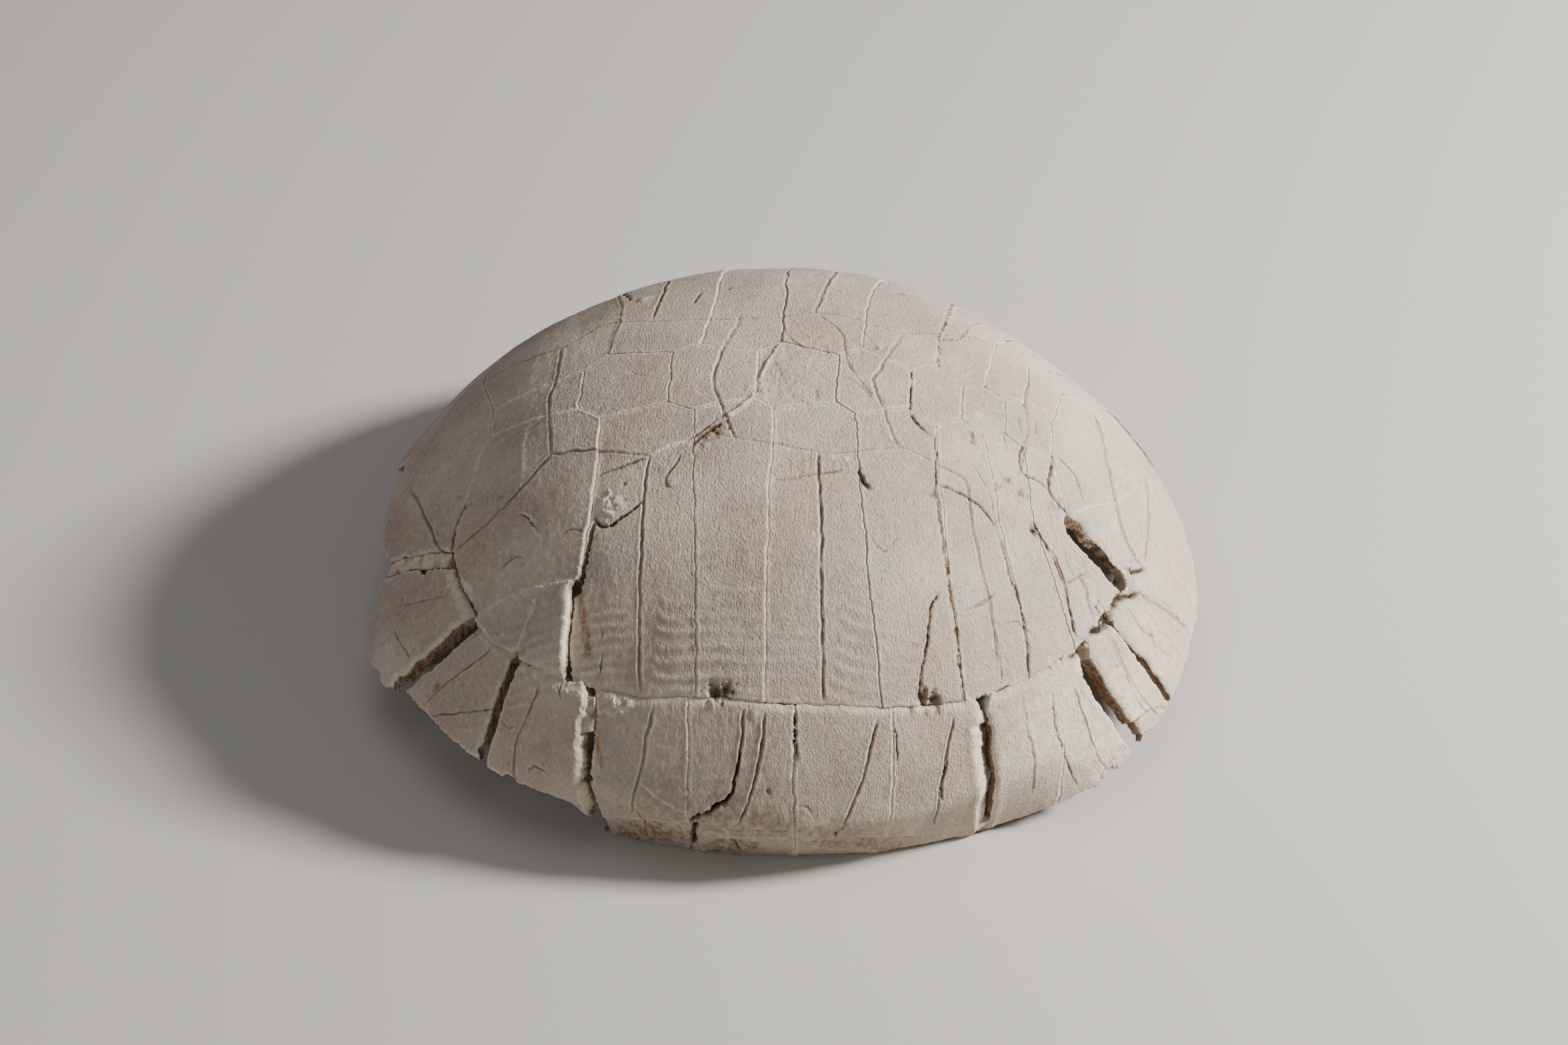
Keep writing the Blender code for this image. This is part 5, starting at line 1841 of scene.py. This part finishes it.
@dataclass(frozen=True)
class FossilBone:
    """Mineralised bone, air-worn: matte, finely pitted, in soft patches of tan, pink and grey.

    Attributes:
        name: the material's name.
        base: its main colour.
        pink: the warmer patches.
        grey: the cooler patches.
        cream: the light patches and worn edges, and the painted highlights on lit faces, groove lips and
            growth-row crests.
        dirt: brown dirt in grooves, and the spongy bone of broken edges; it also paints the shade in
            growth-row troughs, on the lower bridge and along the back's edge at the margin.
        crack: the shade in open cracks.
        ochre: the yellow iron stain.
        cream_share: how strong the broad cream patches are.
        pitting: its fine relief, coarsest first.
    """

    name: str
    base: str = "#baaca0"
    pink: str = "#bca496"
    grey: str = "#aea59c"
    cream: str = "#ebe3d0"
    dirt: str = "#84654a"
    crack: str = "#33261c"
    ochre: str = "#c48a45"
    cream_share: float = 0.35
    # The pits of the real bone are 0.2 mm wide; they are drawn coarser, so that they show
    pitting: tuple[Pitting, ...] = (Pitting(Lumps(0.8, 3.0, 8.1, True), 1.0, 0.6),
                                    Pitting(Lumps(0.4, 2.0, 9.4), 0.6, 0.3))

    def layers(self) -> tuple[Layer, ...]:
        """Lists the colours over the base.

        Returns:
            Patches of weathering first, then wear with painted highlights, dirt with painted shade, and
            shade.
        """
        return (
            Layer(self.pink, Lumps(34.0, 3.0, 0.2), 0.44, 0.62),
            Layer(self.grey, Lumps(22.0, 3.0, 1.3), 0.5, 0.66, 0.8),
            Layer(self.cream, Lumps(46.0, 2.0, 2.7), 0.48, 0.7, self.cream_share),
            Layer(self.grey, Lumps(4.2, 4.0, 3.1), 0.5, 0.72, 0.35),
            Layer(self.cream, Lumps(1.3, 3.0, 4.4, True), 0.5, 0.7, 0.35),
            Layer(self.dirt, Lumps(2.2, 4.0, 5.9, True), 0.58, 0.72, 0.4),
            # Chalk and worn edges, with the painted highlights that the pale attribute also holds
            Layer(self.cream, Lumps(2.0, 3.0, 6.2), 0.2, 0.5, follows="pale"),
            # Dirt, with the painted shade that the stain attribute also holds
            Layer(self.dirt, Lumps(1.3, 3.0, 7.7), 0.25, 0.5, follows="stain"),
            Layer(self.crack, Lumps(0.7, 2.0, 8.3), 0.5, 0.6, 0.35, follows="stain"),
            Layer(self.ochre, Lumps(1.6, 3.0, 9.1), 0.35, 0.6, follows="ochre"),
            Layer(self.crack, share=0.85, follows="dark"),
        )

    def build(self) -> bpy.types.Material:
        """Makes the material.

        Returns:
            The material, ready for a plate.
        """
        nodes = BoneNodes(self.name)
        colour = linear(self.base)
        for layer in self.layers():
            colour = layer.lay(nodes, colour)
        nodes.tree.links.new(colour, nodes.shader.inputs["Base Color"])
        relief = {}
        for pits in self.pitting:
            height = pits.lumps.build(nodes)
            bumps = nodes.add("ShaderNodeBump", {"Height": height, "Strength": pits.strength,
                                                 "Distance": pits.depth * MM, **relief})
            relief = {"Normal": bumps.outputs[0]}
        nodes.tree.links.new(relief["Normal"], nodes.shader.inputs["Normal"])
        nodes.shader.inputs["Roughness"].default_value = 0.92
        nodes.shader.inputs["Specular IOR Level"].default_value = 0.2
        return nodes.material


# Bone of the back: pale taupe with pink and bluish patches, from weathering in pale rock
BACK_BONE = FossilBone("weathered_fossil_bone")
# Bone of the margin: a little lighter and warmer, because more of the rock's lime stays on it
MARGIN_BONE = FossilBone("limy_fossil_bone", base="#beafa1", cream_share=0.45)
# Rock left in the gaps: a sandy, grainy lime
ROCK_FILL = FossilBone("sandy_limestone", base="#c9bba8", pink="#c2ac98", grey="#b3a899", cream="#e4dac8")


class Shell:
    """The whole carapace, plate by plate."""

    def __init__(self) -> None:
        """Reads every plate's outline from the frame."""
        self.outlines = {name: Outline(name) for name in sorted(frame["nodes"])}
        self.neighbours = Neighbours(self.outlines)
        far = tuple(mark.mirrored() for mark in SIDE_GROOVES)
        self.marks = (MIDDLE_GROOVES + SIDE_GROOVES + far + LEFT_HEAD_DAMAGE + MIDDLE_DAMAGE
                      + LEFT_TAIL_DAMAGE + BRIDGE_DAMAGE + RIGHT_DAMAGE)
        self.finishes = {"shell_bone": BACK_BONE.build(), "margin_bone": MARGIN_BONE.build(),
                         "rock_matrix": ROCK_FILL.build()}

    def build(self) -> None:
        """Builds every plate and puts it in its node's place."""
        slots = {entry["node"]: entry["material_slot"] for entry in frame["record"]["subparts"]}
        for name, outline in self.outlines.items():
            plate = Plate(outline, self.neighbours, self.marks).build()
            slot = slots[name]
            plate.data.materials.append(self.finishes[slot])
            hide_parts(name)
            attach(plate, "root")
            log.info("%s: %d faces", plate.name, len(plate.data.polygons))


@dataclass(frozen=True)
class Lamp:
    """One soft round light that faces the shell.

    Attributes:
        name: the light's name.
        place: its place in metres.
        size: its width in metres.
        power: in watts.
        colour: its colour.
    """

    name: str
    place: tuple[float, float, float]
    size: float
    power: float
    colour: str

    def build(self) -> None:
        """Hangs the light."""
        data = bpy.data.lights.new(self.name, "AREA")
        data.shape = "DISK"
        data.size = self.size
        data.energy = self.power
        data.color = linear(self.colour)[:3]
        light = bpy.data.objects.new(self.name, data)
        light.location = self.place
        along, across, up = self.place
        flat = math.hypot(along, across)
        light.rotation_euler = (math.pi / 2.0 - math.atan2(up, flat), 0.0, math.atan2(along, -across))
        bpy.context.scene.collection.objects.link(light)


@dataclass(frozen=True)
class Studio:
    """The floor, the lights and the camera.

    Attributes:
        target: what the camera looks at.
        distance: from the camera to it.
        elevation: the camera's height as an angle, in degrees.
        yaw: the camera's turn, in degrees.
        lens: focal length.
        film: width of the sensor.
        floor_size: width of the floor, in metres.
        floor_colour: its colour.
        air_colour: colour of the light from all round.
        air_strength: how strong that light is.
        lamps: the lights: the low key from the tail, the sky, and a weak one from the front.
    """

    target: tuple[float, float, float] = (-1.6, 0.4, 41.1)
    distance: float = 1212.0
    elevation: float = 42.6
    yaw: float = 3.0
    lens: float = 80.3
    film: float = 36.0
    floor_size: float = 6.0
    floor_colour: str = "#cdcac4"
    air_colour: str = "#eceae6"
    air_strength: float = 0.1
    lamps: tuple[Lamp, ...] = (
        Lamp("key", (1.3, 0.12, 0.86), 0.3, 52.0, "#fffcf7"),
        Lamp("sky", (-0.1, 0.2, 2.0), 1.6, 5.0, "#fbfbff"),
        Lamp("front", (-0.75, -1.0, 0.9), 0.3, 2.4, "#fcfcff"),
    )

    def camera(self) -> None:
        """Sets up the camera at the photograph's angle."""
        elevation, yaw = math.radians(self.elevation), math.radians(self.yaw)
        data = bpy.data.cameras.new("camera")
        data.lens = self.lens
        data.sensor_width = self.film
        data.clip_start = 0.01
        data.clip_end = 20.0
        camera = bpy.data.objects.new("camera", data)
        level = math.cos(elevation)
        away = np.array([math.sin(yaw) * level, -math.cos(yaw) * level, math.sin(elevation)])
        camera.location = (np.array(self.target) + away * self.distance) * MM
        camera.rotation_euler = (math.pi / 2.0 - elevation, 0.0, yaw)
        bpy.context.scene.collection.objects.link(camera)
        bpy.context.scene.camera = camera

    def floor(self) -> None:
        """Lays the pale floor."""
        bm = bmesh.new()
        bmesh.ops.create_grid(bm, x_segments=1, y_segments=1, size=self.floor_size / 2.0)
        mesh = bpy.data.meshes.new("floor")
        bm.to_mesh(mesh)
        bm.free()
        # Matte paper: it takes the shadow and gives no gloss
        nodes = Nodes("pale_paper")
        nodes.shader.inputs["Base Color"].default_value = linear(self.floor_colour)
        nodes.shader.inputs["Roughness"].default_value = 0.9
        mesh.materials.append(nodes.material)
        floor = bpy.data.objects.new("floor", mesh)
        bpy.context.scene.collection.objects.link(floor)

    def build(self) -> None:
        """Sets up the whole studio."""
        self.camera()
        self.floor()
        for lamp in self.lamps:
            lamp.build()
        world = bpy.data.worlds.new("studio_air")
        world.use_nodes = True
        background = world.node_tree.nodes["Background"]
        background.inputs["Color"].default_value = linear(self.air_colour)
        background.inputs["Strength"].default_value = self.air_strength
        bpy.context.scene.world = world


def main() -> None:
    """Builds the studio and the shell."""
    logging.basicConfig(level=logging.INFO, format="%(message)s")
    Studio().build()
    Shell().build()


if __name__ == "__main__":
    main()
